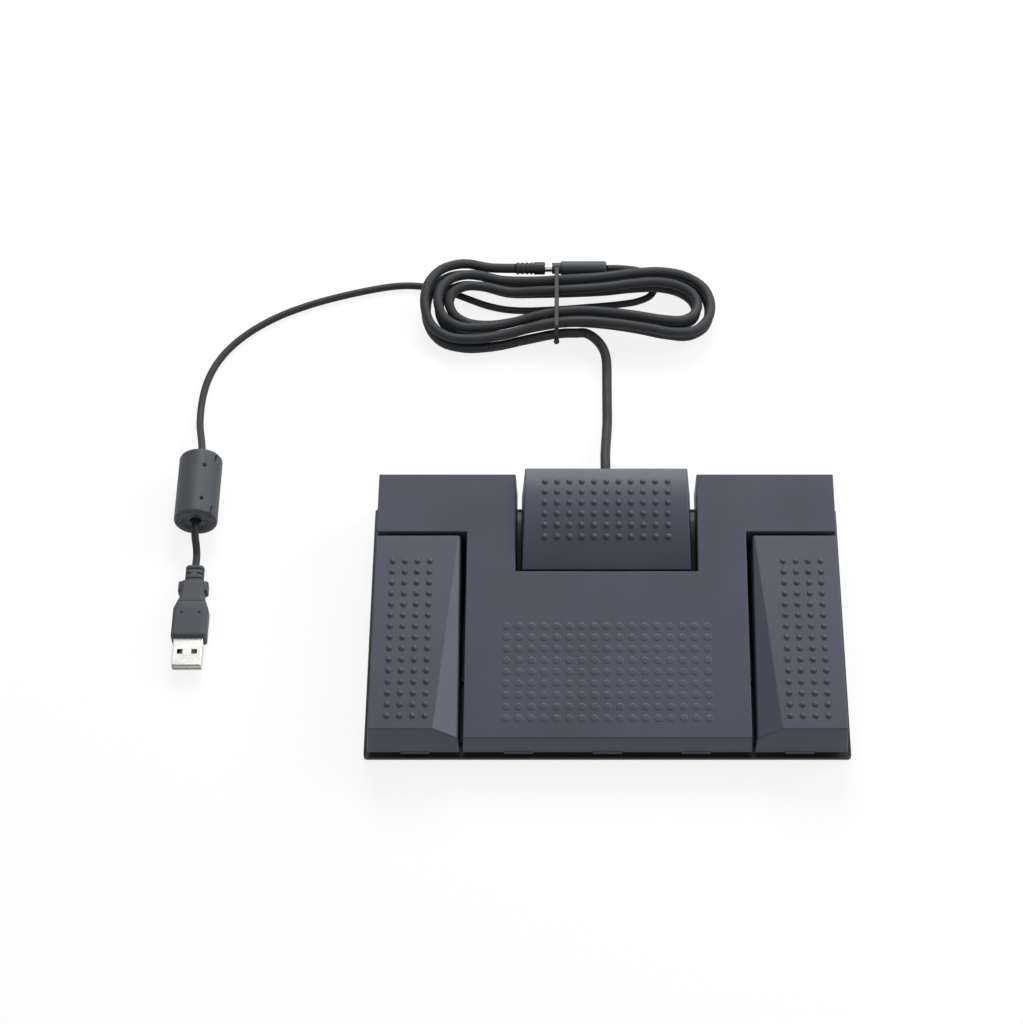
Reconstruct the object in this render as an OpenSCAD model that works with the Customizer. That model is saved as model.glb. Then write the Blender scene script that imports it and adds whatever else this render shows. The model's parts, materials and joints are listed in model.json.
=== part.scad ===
// Foot control with four hinged pedals on a low tray, its lead tied in a hank, and a plug.
// Millimetres. X runs left to right, Y from the front to the back, Z up from the floor.

/* [Base] */
// Width of the base tray, left to right
body_w = 192.5; // [184:0.5:210]
// Depth of the base tray, front to back
body_d = 118.5; // [114:0.5:130]
// Thickness of the tray's sheet floor
plate_t = 0.8; // [0.6:0.1:1.2]
// Height of the tray's rim, from its underside
rim_h = 1.4; // [1.2:0.1:2.4]
// Thickness of the tray's rim
rim_t = 0.6; // [0.4:0.1:0.6]
// Corner radius of the tray
plate_r = 1.5; // [1:0.5:4]
// Diameter of a rubber foot
foot_d = 12; // [8:1:14]
// Height of a rubber foot
foot_h = 1.2; // [0.8:0.1:3]
// Distance of the feet's centres from the tray's edges
foot_inset = 14; // [10:1:20]
// Thickness of the chassis floor
floor_t = 1.6; // [1.2:0.1:2]
// Distance of the chassis from the tray's edges
chassis_inset = 6.5; // [6:0.5:9]

/* [Pedal shells] */
// Wall thickness of the pedal shells
wall = 2.2; // [1.8:0.1:2.4]
// Gap between the tray's rim and the front skirts' lower edge
skirt_gap = 3; // [2.8:0.1:5]
// Distance of the front skirts' foot from the tray's front edge
front_margin = 1; // [1:0.1:2]
// Distance of the outer skirts' foot from the tray's side edges
side_margin = 1.75; // [1.25:0.25:3]
// Distance of the back skirts from the tray's back edge
back_margin = 0.2; // [0.2:0.1:1]
// Lean of the front skirts, in degrees
front_draft = 7.7; // [4:0.1:9]
// Lean of the outer side skirts, in degrees
side_draft = 4.5; // [2:0.1:6]
// Gap between the centre pedal's stem and a side pedal
lane_gap = 2.6; // [2:0.1:4]
// How much higher the hidden inner skirts end than the front ones
lane_lift = 2.4; // [2.2:0.1:4]
// Height of the back skirts' lower edge above the tray
back_lift = 10.8; // [9:0.1:12]
// Width of a tab under the front skirts
tab_w = 11.4; // [8:0.1:14]
// Height of a tab
tab_h = 0.8; // [0.5:0.1:1]
// Distance of the outer tabs of the centre pedal from its middle
centre_tab_x = 35; // [25:1:45]

/* [Centre pedal] */
// Height of the front skirt
centre_h = 9.4; // [9:0.1:12]
// Slope of the top, rising to the back, in degrees
centre_slope = 6.4; // [5.5:0.1:7.5]
// Depth of the arms behind the side pedals
arm_d = 26; // [24:0.5:30]
// Width of the notch for the top pedal
notch_w = 74; // [73:0.5:80]
// Depth of the notch for the top pedal
notch_d = 43.8; // [43:0.1:46]

/* [Side pedals] */
// Width of a side pedal at its foot
side_w = 35.3; // [33:0.1:40]
// Height of the front skirt
side_h = 15.1; // [14:0.1:18]
// Slope of the top, rising to the back, in degrees
side_slope = 2.6; // [1.5:0.1:4]
// Gap between a side pedal's back and the arm behind it
arm_gap = 1.55; // [1.2:0.05:3]
// Width of the slanted inner facet at the front
crease_in = 8.8; // [5:0.1:12]
// Depth of the slanted inner facet at the front
crease_drop = 6.2; // [3:0.1:8]

/* [Top pedal] */
// Gap between the notch's sides and its skirts' lower edge
top_side_gap = 2.1; // [1.5:0.1:4]
// Lean of its side skirts, in degrees
top_draft = 4.9; // [2:0.1:6]
// Gap between the notch's front edge and the pedal
top_front_gap = 1.5; // [1.2:0.1:2.5]
// How far its front edge lies below the notch's edge
top_front_drop = 1.1; // [0.5:0.1:2]
// How far its back edge stands above the centre pedal's
top_rise = 4.8; // [4:0.1:7]
// Radius of its crown
crown_r = 60; // [50:5:160]
// Width of the arch over the lead in its back skirt
arch_w = 14; // [12:0.5:18]

/* [Studs] */
// Distance between studs, both ways
stud_pitch = 5; // [4.5:0.1:5.2]
// Diameter of a stud on the side and top pedals
stud_d = 2.6; // [2:0.1:3.2]
// Height of a stud on the side and top pedals
stud_h = 0.8; // [0.5:0.1:1.2]
// Diameter of a stud on the centre pedal
low_stud_d = 3; // [2:0.1:3.6]
// Height of a stud on the centre pedal
low_stud_h = 0.4; // [0.3:0.1:0.8]
// Stud columns on a side pedal
side_cols = 4; // [2:1:4]
// Stud rows on a side pedal
side_rows = 15; // [8:1:15]
// Stud columns on the centre pedal
centre_cols = 17; // [9:1:19]
// Stud rows on the centre pedal
centre_rows = 9; // [4:1:10]
// Stud columns on the top pedal
top_cols = 11; // [5:1:11]
// Stud rows on the top pedal
top_rows = 6; // [3:1:6]
// Distance of the first side row from the front edge
side_stud_front = 5.7; // [5:0.1:8]
// Distance of the outer side column from the outer edge
side_stud_out = 7; // [5:0.1:9]
// Distance of the first centre row from the front edge
centre_stud_front = 8.2; // [5:0.1:12]
// Distance of the first top row from the back edge, along the crown
top_stud_back = 6.5; // [4:0.1:8]

/* [Hinges] */
// Diameter of the steel hinge pins
pin_d = 3; // [2:0.5:4]
// Height of the hinge pins above the chassis floor
pin_lift = 11.4; // [11:0.1:13]
// Distance of the side hinge from the pedal's back
side_hinge_in = 6.8; // [6.5:0.1:9]
// Distance of the centre hinge from the pedal's back
centre_hinge_in = 10.3; // [10:0.1:13]
// Distance of the top hinge from the pedal's front
top_hinge_in = 7.2; // [7:0.1:9]
// Thickness of a hinge post and of a hinge ear
ear_t = 3.5; // [2.5:0.5:4]
// Width of a hinge post and of a hinge ear
ear_w = 7; // [6:0.5:8]
// Play between a post and an ear, along the pin
ear_play = 0.5; // [0.3:0.1:0.8]
// Running clearance of a pin in an ear, on the radius
pin_run = 0.05; // [0.02:0.01:0.1]
// Clearance of a pin in a post, on the radius
pin_fit = 0.02; // [0.01:0.01:0.04]
// Travel of a side pedal, in degrees
side_travel = 1.6; // [1:0.1:1.6]
// Travel of the centre pedal, in degrees
centre_travel = 1.2; // [0.8:0.1:1.2]
// Travel of the top pedal, in degrees
top_travel = 5; // [3:0.5:5]

/* [Switches and springs] */
// Width of a switch body, left to right
switch_t = 5.8; // [5:0.1:7]
// Length of a switch body, front to back
switch_w = 12.8; // [11:0.1:14]
// Height of a switch body
switch_h = 6.5; // [6:0.1:7]
// Diameter of a switch plunger
plunger_d = 2.4; // [2:0.1:3]
// Gap between a plunger and the pedal's rib, and between stops
touch_gap = 0.3; // [0.3:0.05:0.5]
// Outer diameter of a return spring
spring_d = 10; // [8:0.5:12]
// Wire diameter of a return spring
spring_wire = 1; // [0.8:0.1:1.2]
// Turns of a return spring
spring_turns = 4; // [3:0.5:5]
// Diameter of a bump stop
stop_d = 7; // [5:0.5:9]
// Height of a bump stop
stop_h = 2; // [1:0.1:2.4]

/* [Board] */
// Width of the circuit board
board_w = 60; // [50:1:66]
// Depth of the circuit board
board_d = 28; // [24:1:32]
// Thickness of the circuit board
board_t = 1.6; // [1:0.1:2]
// Height of the board above the chassis floor
board_lift = 2.4; // [2:0.1:3]
// Diameter of the wires from the switches
wire_d = 1.6; // [1:0.1:1.8]

/* [Cord] */
// Diameter of the main lead
cord_d = 4.2; // [3.8:0.1:4.2]
// Diameter of the lead to the plug
usb_d = 3.1; // [2.8:0.1:3.1]
// Loops of the hank are this much apart
hank_step = 5.8; // [5.7:0.1:6]
// Height from one layer of the hank to the next
hank_pitch = 5.2; // [5.2:0.1:5.6]
// Half the length of the hank's outer loop
hank_half = 65; // [64:0.5:66]
// Half the width of the hank at its waist
hank_waist = 15.5; // [15.4:0.1:16]
// Swell of the hank's loops from the waist to the ends
hank_swell = 27; // [26.5:0.5:28]
// Diameter of the ferrite's case
ferrite_d = 18; // [16:0.5:19]
// Length of the ferrite's case
ferrite_l = 32; // [26:1:32]

/* [Hidden] */
$fn = 40;

shell_colour = [0.33, 0.34, 0.38];
steel_colour = [0.72, 0.73, 0.75];
black_colour = [0.11, 0.11, 0.12];
cord_colour = [0.15, 0.16, 0.17];

// Heights
z_deck = foot_h + plate_t;
z_floor = z_deck + floor_t;
z_skirt = foot_h + rim_h + skirt_gap;
z_lane = z_skirt + lane_lift;
z_back = z_deck + back_lift;
z_pin = z_floor + pin_lift;

// Plan
y_front = -body_d / 2 + front_margin;
y_back = body_d / 2 - back_margin;
y_arm = y_back - arm_d;
y_notch = y_back - notch_d;
y_side_back = y_arm - arm_gap;
x_out = body_w / 2 - side_margin;
x_in = x_out - side_w;
x_stem = x_in - lane_gap;
top_w = notch_w - 2 * top_side_gap;
x_side = (x_in + x_out) / 2;
over = 0.01;
big = 400;

// Top planes, as the height at y = 0
y_centre_edge = y_front + centre_h * tan(front_draft);
y_side_edge = y_front + side_h * tan(front_draft);
centre_z0 = z_skirt + centre_h - y_centre_edge * tan(centre_slope);
side_z0 = z_skirt + side_h - y_side_edge * tan(side_slope);
function centre_top(y) = centre_z0 + y * tan(centre_slope);
function side_top(y) = side_z0 + y * tan(side_slope);

// Where the leaning front face meets a sloped top; y0 is the face's foot, z0 the top at y = 0
function front_corner(y0, z0, slope) =
    let(tf = tan(front_draft), ts = tan(slope), z = (z0 + (y0 - z_skirt * tf) * ts) / (1 - tf * ts))
    [y0 + (z - z_skirt) * tf, z];

// Crown of the top pedal: a circle of crown_r in the YZ plane through its front and back edges
y_top_front = y_notch + top_front_gap;
top_edge = [y_top_front, centre_top(y_notch) - top_front_drop];
top_back_edge = [y_back, centre_top(y_back) + top_rise];
crown_chord = top_back_edge - top_edge;
crown_half = norm(crown_chord) / 2;
crown_up = [-crown_chord.y, crown_chord.x] / norm(crown_chord);
crown_c = (top_edge + top_back_edge) / 2 - crown_up * sqrt(crown_r ^ 2 - crown_half ^ 2);
crown_back_a = atan2(top_back_edge.y - crown_c.y, top_back_edge.x - crown_c.x);
function crown_top(y) = crown_c.y + sqrt(crown_r ^ 2 - (y - crown_c.x) ^ 2);
z_top_skirt = z_back;

// Hinge axes
y_side_pin = y_side_back - side_hinge_in;
y_centre_pin = y_back - centre_hinge_in;
y_top_pin = y_top_front + top_hinge_in;

// Switch and spring places, under each pedal
side_switch = [x_side, y_side_edge + 31];
side_spring = [x_side, y_side_edge + 14];
side_stop = [x_side, y_side_edge + 50];
centre_switch_at = [0, y_centre_edge + 14];
centre_spring_at = [x_stem * 0.5, y_centre_edge + 18];
centre_stop = [x_stem * 0.78, y_centre_edge + 18];
top_switch_at = [-19, y_back - 13];
top_spring_at = [19, y_back - 14];
side_switch_lift = 5;
centre_switch_lift = 0.4;
top_switch_lift = 13;
side_spring_lift = 0;
top_spring_lift = 10;

// How far a plunger goes down, and how far it stands out at rest
function drop(y_pin, y, a) = abs(y_pin - y) * a * PI / 180;
side_drop = drop(y_side_pin, side_switch.y, side_travel);
centre_drop = drop(y_centre_pin, centre_switch_at.y, centre_travel);
top_drop = drop(y_top_pin, top_switch_at.y, top_travel);
function plunger_z(lift, dz) = z_floor + lift + switch_h + dz + 0.4;

// Undersides, measured where a seat meets them
function centre_under(y) = centre_top(y) - wall / cos(centre_slope);
function side_under(y) = side_top(y) - wall / cos(side_slope);
seat_t = 1;

// Board and inner cord
board_y = y_notch - 24;
z_board = z_floor + board_lift;
cord_z = z_floor + 5.2;
header_w = 9;
header_d = 6;
header_h = 4.6;
header_y = board_y + board_d / 2 - header_d / 2 - 1;

// Strain relief: a flange held in the chassis gate, a sleeve and a tapered boot
gate_y = body_d / 2 - chassis_inset - 6;
gate_t = 2;
flange_t = 2.4;
flange_d = 10.4;
boot_d = 8;
boot_end_d = 5.8;
boot_end_y = 71;

// Main lead, from the boot to the hank: level, down to the floor, up to the hank's front run
cord_floor = cord_d / 2;
lead_pts = [
    [0, boot_end_y, cord_z], [0, boot_end_y + 5, cord_z], [0, 83, 7.6], [0.3, 90.5, 5.2], [0.7, 98, 3],
    [1, 105, cord_floor], [1, 112, cord_floor], [1, 120, cord_floor], [1, 127, cord_floor], [1, 132, 2.5],
    [0.8, 136.8, 3.5], [-0.4, 141.4, 4.9], [-3.4, 145.6, 6.2]
];

// Hank: loops that spiral in on the floor and out again one layer up, drawn in at the waist.
// The angle falls from hank_a0 to hank_a1, five turns further on; t counts turns from the start.
// Two swells lift it off the floor, where the thin lead runs underneath: the waist and the left end.
hank_c = [-14.5, 164];
hank_a0 = -92;
hank_a1 = 123;
hank_turns = 5 - (hank_a1 - hank_a0) / 360;
hank_climb = 0.4;
hank_in = (hank_turns - hank_climb) / 2;
waist_lift = 5.6;
waist_lift_u = 14;
waist_lift_w = 34;
end_lift = 4.2;
end_lift_at = [-54, 12];
end_lift_w = 20;
function hank_inset(t) =
    hank_step * (t < hank_in ? t : t < hank_in + hank_climb ? hank_in : hank_turns - t);
function ease(t) = let(k = min(1, max(0, t))) k * k * (3 - 2 * k);
function hank_raise(p) =
    waist_lift * exp(-((p.x - waist_lift_u) / waist_lift_w) ^ 4)
    + end_lift * exp(-(norm(p - end_lift_at) / end_lift_w) ^ 4);
function hank_plan(t) =
    let(a = hank_a0 - 360 * t, i = hank_inset(t))
    [(hank_half - i) * cos(a), sin(a) * (hank_waist - i + (hank_swell - i) * cos(a) ^ 2)];
function hank_at(t) =
    let(p = hank_plan(t))
    [
        hank_c.x + p.x, hank_c.y + p.y,
        cord_floor + hank_pitch * ease((t - hank_in) / hank_climb) + hank_raise(p)
    ];
hank_rings = round(hank_turns * 24);
hank_loops = [for (k = [0:hank_rings]) hank_at(hank_turns * k / hank_rings)];
hank_join = hank_loops[0] + [cord_d, 0, 0];
hank_end = hank_loops[hank_rings] + [cord_d * 1.6, -0.6, 0.4];
plug_at = hank_end + [cord_d, 0, 0];
hank_pts = concat([hank_join], hank_loops, [hank_end, plug_at]);
main_route = concat(lead_pts, [hank_join + [cord_d, 0, 0], hank_join]);

// Least gap of the hank to itself, between points four to a ring along its straight stretches
hank_last = len(hank_pts) - 1;
hank_fine = [for (k = [0:hank_last - 1]) each
    [for (q = [0:3]) hank_pts[k] + (hank_pts[k + 1] - hank_pts[k]) * q / 4]];
hank_gap = min([for (i = [0:4 * hank_last - 1]) for (j = [i + 28:4 * hank_last - 1])
    norm(hank_fine[i] - hank_fine[j])]) - cord_d;

// Tie round the hank's waist, fitted to the strands where they cross its plane
tie_x = hank_c.x - 6.3;
tie_w = 1.8;
tie_t = 0.6;
tie_gap = 0.4;
tie_cross = [for (k = [0:hank_last - 1]) let(a = hank_pts[k], b = hank_pts[k + 1])
    if ((a.x - tie_x) * (b.x - tie_x) <= 0) a + (b - a) * (tie_x - a.x) / (b.x - a.x)];
tie_in = cord_d / 2 + tie_gap;
tie_y = [min([for (p = tie_cross) p.y]) - tie_in, max([for (p = tie_cross) p.y]) + tie_in];
tie_z = [min([for (p = tie_cross) p.z]) - tie_in, max([for (p = tie_cross) p.z]) + tie_in];

// Inline connector, along X from the end of the hank
relief_l = 8;
relief_d = 5.2;
iplug_l = 5;
iplug_d = 5.6;
pin_gap = 3;
ipin_d = 3.5;
neck_l = 4;
neck_d = 5;
sock_l = 20;
sock_d = 6.4;
sock_x = plug_at.x + relief_l + iplug_l + pin_gap;
sock_end = sock_x + neck_l + sock_l;

// Lead to the plug: back under the hank's waist, out under its left end and round to the front
usb_z = usb_d / 2;
ferrite_c = [-170, 64];
ferrite_z = ferrite_d / 2;
plug_x = -169;
plug_z = 4.2;
plug_back = 31;
usb_route = [
    [sock_end, plug_at.y, plug_at.z], [sock_end + 4.5, plug_at.y, plug_at.z], [11, 184, 7.6],
    [16.2, 185, 4.8], [20.6, 183.8, 2.4], [22.6, 179.2, usb_z], [20.6, 174, usb_z],
    [15.2, 170.8, usb_z], [7, 169, usb_z], [-1, 168, usb_z], [-9, 167.2, usb_z],
    [-17, 166.4, usb_z], [-25, 165.8, usb_z], [-34, 165.4, usb_z], [-43, 166, usb_z],
    [-52, 168.4, usb_z], [-60, 172, usb_z], [-68, 175.6, usb_z], [-76, 178.2, usb_z],
    [-84, 179.4, usb_z], [-92, 179.2, usb_z], [-100, 177.8, usb_z], [-108, 175.8, usb_z],
    [-116, 173.5, usb_z], [-125, 170.5, usb_z],
    [-134, 166.8, usb_z], [-142.5, 162.5, usb_z], [-150.5, 157.2, usb_z], [-157.5, 151.2, usb_z],
    [-163.5, 144.4, usb_z], [-168.2, 136.6, usb_z], [-171.4, 128, usb_z], [-173, 119, usb_z],
    [-173.4, 110, 1.8], [-172.8, 101.5, 3.6], [-171.4, 93.5, 6.6], [-170.2, 86, 8.7],
    [ferrite_c.x, ferrite_c.y + ferrite_l / 2 + usb_d + 1, ferrite_z],
    [ferrite_c.x, ferrite_c.y + ferrite_l / 2, ferrite_z]
];
tail_route = [
    [ferrite_c.x, ferrite_c.y - ferrite_l / 2, ferrite_z],
    [ferrite_c.x, ferrite_c.y - ferrite_l / 2 - usb_d, ferrite_z],
    [-169.7, 41.4, 7.9], [-169.2, 38, 5.6], [plug_x, plug_back + 3.6, plug_z], [plug_x, plug_back, plug_z]
];
inner_route = [
    [0, gate_y - gate_t - flange_t, cord_z], [0, gate_y - gate_t - 10, cord_z],
    [0, y_top_pin + 4, cord_z], [0, y_notch - 1, cord_z],
    [0, header_y + header_d / 2 + 5, z_board + board_t + header_h / 2],
    [0, header_y + header_d / 2, z_board + board_t + header_h / 2]
];

// A tube of n sides and radius r along a list of points
function unit(v) = v / norm(v);
function heading(p, i) =
    unit(p[min(i + 1, len(p) - 1)] - p[max(i - 1, 0)]);
function ring(p, i, r, n) =
    let(t = heading(p, i), s = unit(cross(t, [0, 0, 1])), u = cross(s, t))
    [for (k = [0:n - 1]) p[i] + r * (cos(360 * (k + 0.5) / n) * s + sin(360 * (k + 0.5) / n) * u)];
module tube(p, r, n) {
    m = len(p);
    verts = [for (i = [0:m - 1]) each ring(p, i, r, n)];
    sides = [for (i = [0:m - 2]) for (k = [0:n - 1]) let(a = i * n + k, b = i * n + (k + 1) % n)
        each [[a, b, b + n], [a, b + n, a + n]]];
    start = [for (k = [1:n - 2]) [0, k + 1, k]];
    end = [for (k = [1:n - 2]) [(m - 1) * n, (m - 1) * n + k, (m - 1) * n + k + 1]];
    polyhedron(verts, concat(sides, start, end), convexity = 10);
}

// Everything on the side of the plane through p that n points to
module beyond(p, n) {
    translate(p) rotate([0, acos(n.z / norm(n)), atan2(n.y, n.x)])
        translate([-big, -big, 0]) cube([2 * big, 2 * big, big]);
}

// A round bar along X from x0 to x1
module x_bar(x0, x1, y, z, d) {
    translate([x0, y, z]) rotate([0, 90, 0]) cylinder(d = d, h = x1 - x0);
}

// A round bar along Y from y0 to y1
module y_bar(x, y0, y1, z, d, d_end) {
    translate([x, y0, z]) rotate([-90, 0, 0])
        cylinder(d1 = d, d2 = is_undef(d_end) ? d : d_end, h = y1 - y0);
}

// A polygon in the YZ plane, swept along X from x0 to x1
module x_sweep(x0, x1, pts) {
    translate([x0, 0, 0]) rotate([90, 0, 90]) linear_extrude(x1 - x0) polygon(pts);
}

// A rectangle with round corners
module round_rect(w, d, r) {
    square([w, d - 2 * r], center = true);
    square([w - 2 * r, d], center = true);
    for (sx = [-1, 1], sy = [-1, 1])
        translate([sx * (w / 2 - r), sy * (d / 2 - r)]) circle(r);
}

// A domed stud on a surface, rooted below it
module stud(d, h) {
    r = (d * d / 4 + h * h) / (2 * h);
    intersection() {
        translate([0, 0, h - r]) sphere(r);
        translate([0, 0, -0.5]) cylinder(d = d, h = h + 1);
    }
}

// Both signs of x, by a mirror
module both() {
    children();
    mirror([1, 0, 0]) children();
}

// Seats for a coil spring and a switch under a pedal, and an ear; form() trims them to the shell
module post(at, z, d) {
    translate([at.x, at.y, z]) cylinder(d = d, h = 60);
}
module spring_seat(at, z) {
    post(at, z, spring_d + 2);
    post(at, z - 1.8, spring_d - 2 * spring_wire - 1);
}
module ear(x, y) {
    translate([x, y - ear_w / 2, z_pin]) cube([ear_t, ear_w, 60]);
    x_bar(x, x + ear_t, y, z_pin, ear_w);
}

// Base

module base_tray() {
    color(black_colour) difference() {
        translate([0, 0, foot_h]) linear_extrude(rim_h) round_rect(body_w, body_d, plate_r);
        translate([0, 0, z_deck]) linear_extrude(rim_h)
            round_rect(body_w - 2 * rim_t, body_d - 2 * rim_t, plate_r - rim_t + 0.1);
        for (p = screw_places) translate([p.x, p.y, 0]) screw_hole();
    }
}

foot_x = body_w / 2 - foot_inset;
foot_y = body_d / 2 - foot_inset;
module rubber_feet() {
    color([0.08, 0.08, 0.08]) for (sx = [-1, 1], sy = [-1, 1])
        translate([sx * foot_x, sy * foot_y, 0]) {
            cylinder(d1 = foot_d - 0.8, d2 = foot_d, h = 0.4);
            translate([0, 0, 0.4]) cylinder(d = foot_d, h = foot_h - 0.4);
        }
}

// Screws that hold the chassis to the tray, heads flush with the tray's underside
screw_d = 2.5;
screw_head_d = 4.1;
screw_l = 6;
screw_fit = 0.02;
boss_d = 6.5;
screw_places = [for (sx = [-1, 1]) each [
    [sx * x_side, y_side_edge + 66], [sx * x_stem * 0.28, y_centre_edge + 18],
    [sx * (notch_w / 2 + wall + 4), y_notch + 14]
]];
module screw_hole() {
    translate([0, 0, foot_h - over]) cylinder(d1 = screw_head_d + 0.1, d2 = screw_d + 0.1, h = plate_t + 2 * over);
}
module chassis_screws() {
    color(steel_colour) for (p = screw_places) translate([p.x, p.y, foot_h]) {
        cylinder(d1 = screw_head_d, d2 = screw_d - 2 * screw_fit, h = plate_t);
        cylinder(d = screw_d - 2 * screw_fit, h = screw_l);
    }
}

// Hinge posts: the inner edges of each post along X, and the pin's two ends
side_posts = [x_in + wall + 2.6, x_out - wall - 7.2];
centre_posts = [notch_w / 2 + wall + 8, x_out - 18];
top_posts = [-24, 24 - ear_t];
module hinge_post(x, y) {
    difference() {
        union() {
            translate([x, y - ear_w / 2, z_deck]) cube([ear_t, ear_w, z_pin - z_deck]);
            x_bar(x, x + ear_t, y, z_pin, ear_w);
        }
        x_bar(x - 1, x + ear_t + 1, y, z_pin, pin_d + 2 * pin_fit);
    }
}

// Spigot that a spring stands on
module spigot(at, lift) {
    translate([at.x, at.y, z_deck]) cylinder(d = spring_d + 2, h = floor_t + lift);
    translate([at.x, at.y, z_deck]) cylinder(d = spring_d - 2 * spring_wire - 1, h = floor_t + lift + 2.4);
}
module switch_stand(at, lift) {
    translate([at.x - switch_t / 2 - 1, at.y - switch_w / 2 - 1, z_deck])
        cube([switch_t + 2, switch_w + 2, floor_t + lift]);
}
board_holes = [for (sx = [-1, 1], sy = [-1, 1]) [sx * (board_w / 2 - 4), board_y + sy * (board_d / 2 - 4)]];
clamp_y = gate_y - gate_t - 12;
clamp_x = 7;

module chassis() {
    w = body_w - 2 * chassis_inset;
    d = body_d - 2 * chassis_inset;
    color([0.2, 0.2, 0.21]) difference() {
        union() {
            translate([0, 0, z_deck]) linear_extrude(floor_t) round_rect(w, d, 3);
            for (p = screw_places) translate([p.x, p.y, z_deck]) cylinder(d = boss_d, h = screw_l);
            for (p = board_holes) translate([p.x, p.y, z_deck]) cylinder(d = 5, h = floor_t + board_lift);
            both() {
                for (x = side_posts) hinge_post(x, y_side_pin);
                for (x = centre_posts) hinge_post(x, y_centre_pin);
                spigot(side_spring, side_spring_lift);
                spigot(centre_spring_at, 0);
                switch_stand(side_switch, side_switch_lift);
            }
            for (x = top_posts) hinge_post(x, y_top_pin);
            switch_stand(centre_switch_at, centre_switch_lift);
            switch_stand(top_switch_at, top_switch_lift);
            spigot(top_spring_at, top_spring_lift);
            // Gate for the strain relief's flange, and the lower half of the cord clamp
            for (y = [gate_y - gate_t, gate_y + flange_t])
                translate([-8, y - flange_t, z_deck]) cube([16, gate_t, cord_z - z_deck]);
            translate([-clamp_x - 3, clamp_y - 3, z_deck])
                cube([2 * clamp_x + 6, 6, cord_z - z_deck]);
        }
        for (p = screw_places) translate([p.x, p.y, 0]) cylinder(d = screw_d, h = foot_h + screw_l + 1);
        for (p = board_holes) translate([p.x, p.y, z_deck + 0.8]) cylinder(d = 2, h = 20);
        for (sx = [-1, 1]) translate([sx * clamp_x, clamp_y, z_deck + 0.8]) cylinder(d = 2, h = 20);
        y_bar(0, gate_y - 8, gate_y + 8, cord_z, boot_d + 0.1);
        y_bar(0, clamp_y - 5, clamp_y + 5, cord_z, cord_d + 0.1);
        translate([0, 0, z_deck - over])
            for (sx = [-1, 1], sy = [-1, 1]) translate([sx * foot_x, sy * foot_y, 0]) cylinder(d = 2, h = 0.2);
    }
}

// Pedals

// Outer form of the right pedal, with every face moved in by g and its foot at height z
module side_form(g, z) {
    y0 = y_front + g / cos(front_draft);
    z0 = side_z0 - g / cos(side_slope);
    yb = y_side_back - g;
    facet_a = [x_in, y_side_back, side_top(y_side_back)];
    facet_b = [x_in + crease_in, y_side_edge, side_top(y_side_edge)];
    facet_c = [x_in, y_front + (side_h - crease_drop) * tan(front_draft), z_skirt + side_h - crease_drop];
    n = unit(cross(facet_c - facet_a, facet_b - facet_a));
    difference() {
        x_sweep(x_in + g, x_out + 10, [
            [y0 + (z - z_skirt) * tan(front_draft), z], [yb, z],
            [yb, z0 + yb * tan(side_slope)], front_corner(y0, z0, side_slope)
        ]);
        beyond([x_out - g / cos(side_draft), 0, z_skirt], [cos(side_draft), 0, sin(side_draft)]);
        beyond(facet_a - n * g, n);
    }
}

side_ears = [side_posts[0] + ear_t + ear_play, side_posts[1] - ear_t - ear_play];
module side_pedal() {
    plunger_top = plunger_z(side_switch_lift, side_drop);
    stop_top = z_floor + stop_h + drop(y_side_pin, side_stop.y, side_travel) + touch_gap;
    x_edge = x_out - side_h * tan(side_draft);
    color(shell_colour) difference() {
        union() {
            difference() {
                side_form(0, z_skirt);
                side_form(wall, 0);
            }
            intersection() {
                side_form(wall / 2, z_floor);
                union() {
                    spring_seat(side_spring, side_under(side_spring.y) - seat_t);
                    post(side_switch, plunger_top + touch_gap, 5);
                    post(side_stop, stop_top, stop_d - 1);
                    for (x = side_ears) ear(x, y_side_pin);
                }
            }
            for (i = [0:side_cols - 1], j = [0:side_rows - 1])
                translate([x_edge - side_stud_out - i * stud_pitch, y_side_edge, side_top(y_side_edge)])
                    rotate([side_slope, 0, 0])
                        translate([0, side_stud_front + j * stud_pitch, 0]) stud(stud_d, stud_h);
            translate([x_side - tab_w / 2, y_front, z_skirt - tab_h]) cube([tab_w, wall, tab_h + wall]);
        }
        // Hidden walls end higher than the front one
        translate([x_in - 1, y_front + 2 * wall, 0]) cube([wall + 1 + over, body_d, z_lane]);
        translate([x_in - 1, y_side_back - wall - over, 0]) cube([x_out - x_in, wall + 1, z_back]);
        x_bar(side_posts[0], side_posts[1] + ear_t, y_side_pin, z_pin, pin_d + 2 * pin_run);
    }
}

module right_pedal() { side_pedal(); }
module left_pedal() { mirror([1, 0, 0]) side_pedal(); }

// Outer form of the centre pedal, with every face moved in by g and its foot at height z
module centre_form(g, z) {
    y0 = y_front + g / cos(front_draft);
    z0 = centre_z0 - g / cos(centre_slope);
    yb = y_back - g;
    xs = x_stem - g;
    xn = notch_w / 2 + g;
    difference() {
        intersection() {
            linear_extrude(80) polygon([
                [-xs, -body_d], [xs, -body_d], [xs, y_arm + g], [body_w, y_arm + g], [body_w, yb],
                [xn, yb], [xn, y_notch - g], [-xn, y_notch - g], [-xn, yb], [-body_w, yb],
                [-body_w, y_arm + g], [-xs, y_arm + g]
            ]);
            x_sweep(-body_w, body_w, [
                [y0 + (z - z_skirt) * tan(front_draft), z], [yb, z],
                [yb, z0 + yb * tan(centre_slope)], front_corner(y0, z0, centre_slope)
            ]);
        }
        both() beyond([x_out - g / cos(side_draft), 0, z_skirt], [cos(side_draft), 0, sin(side_draft)]);
    }
}

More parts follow.
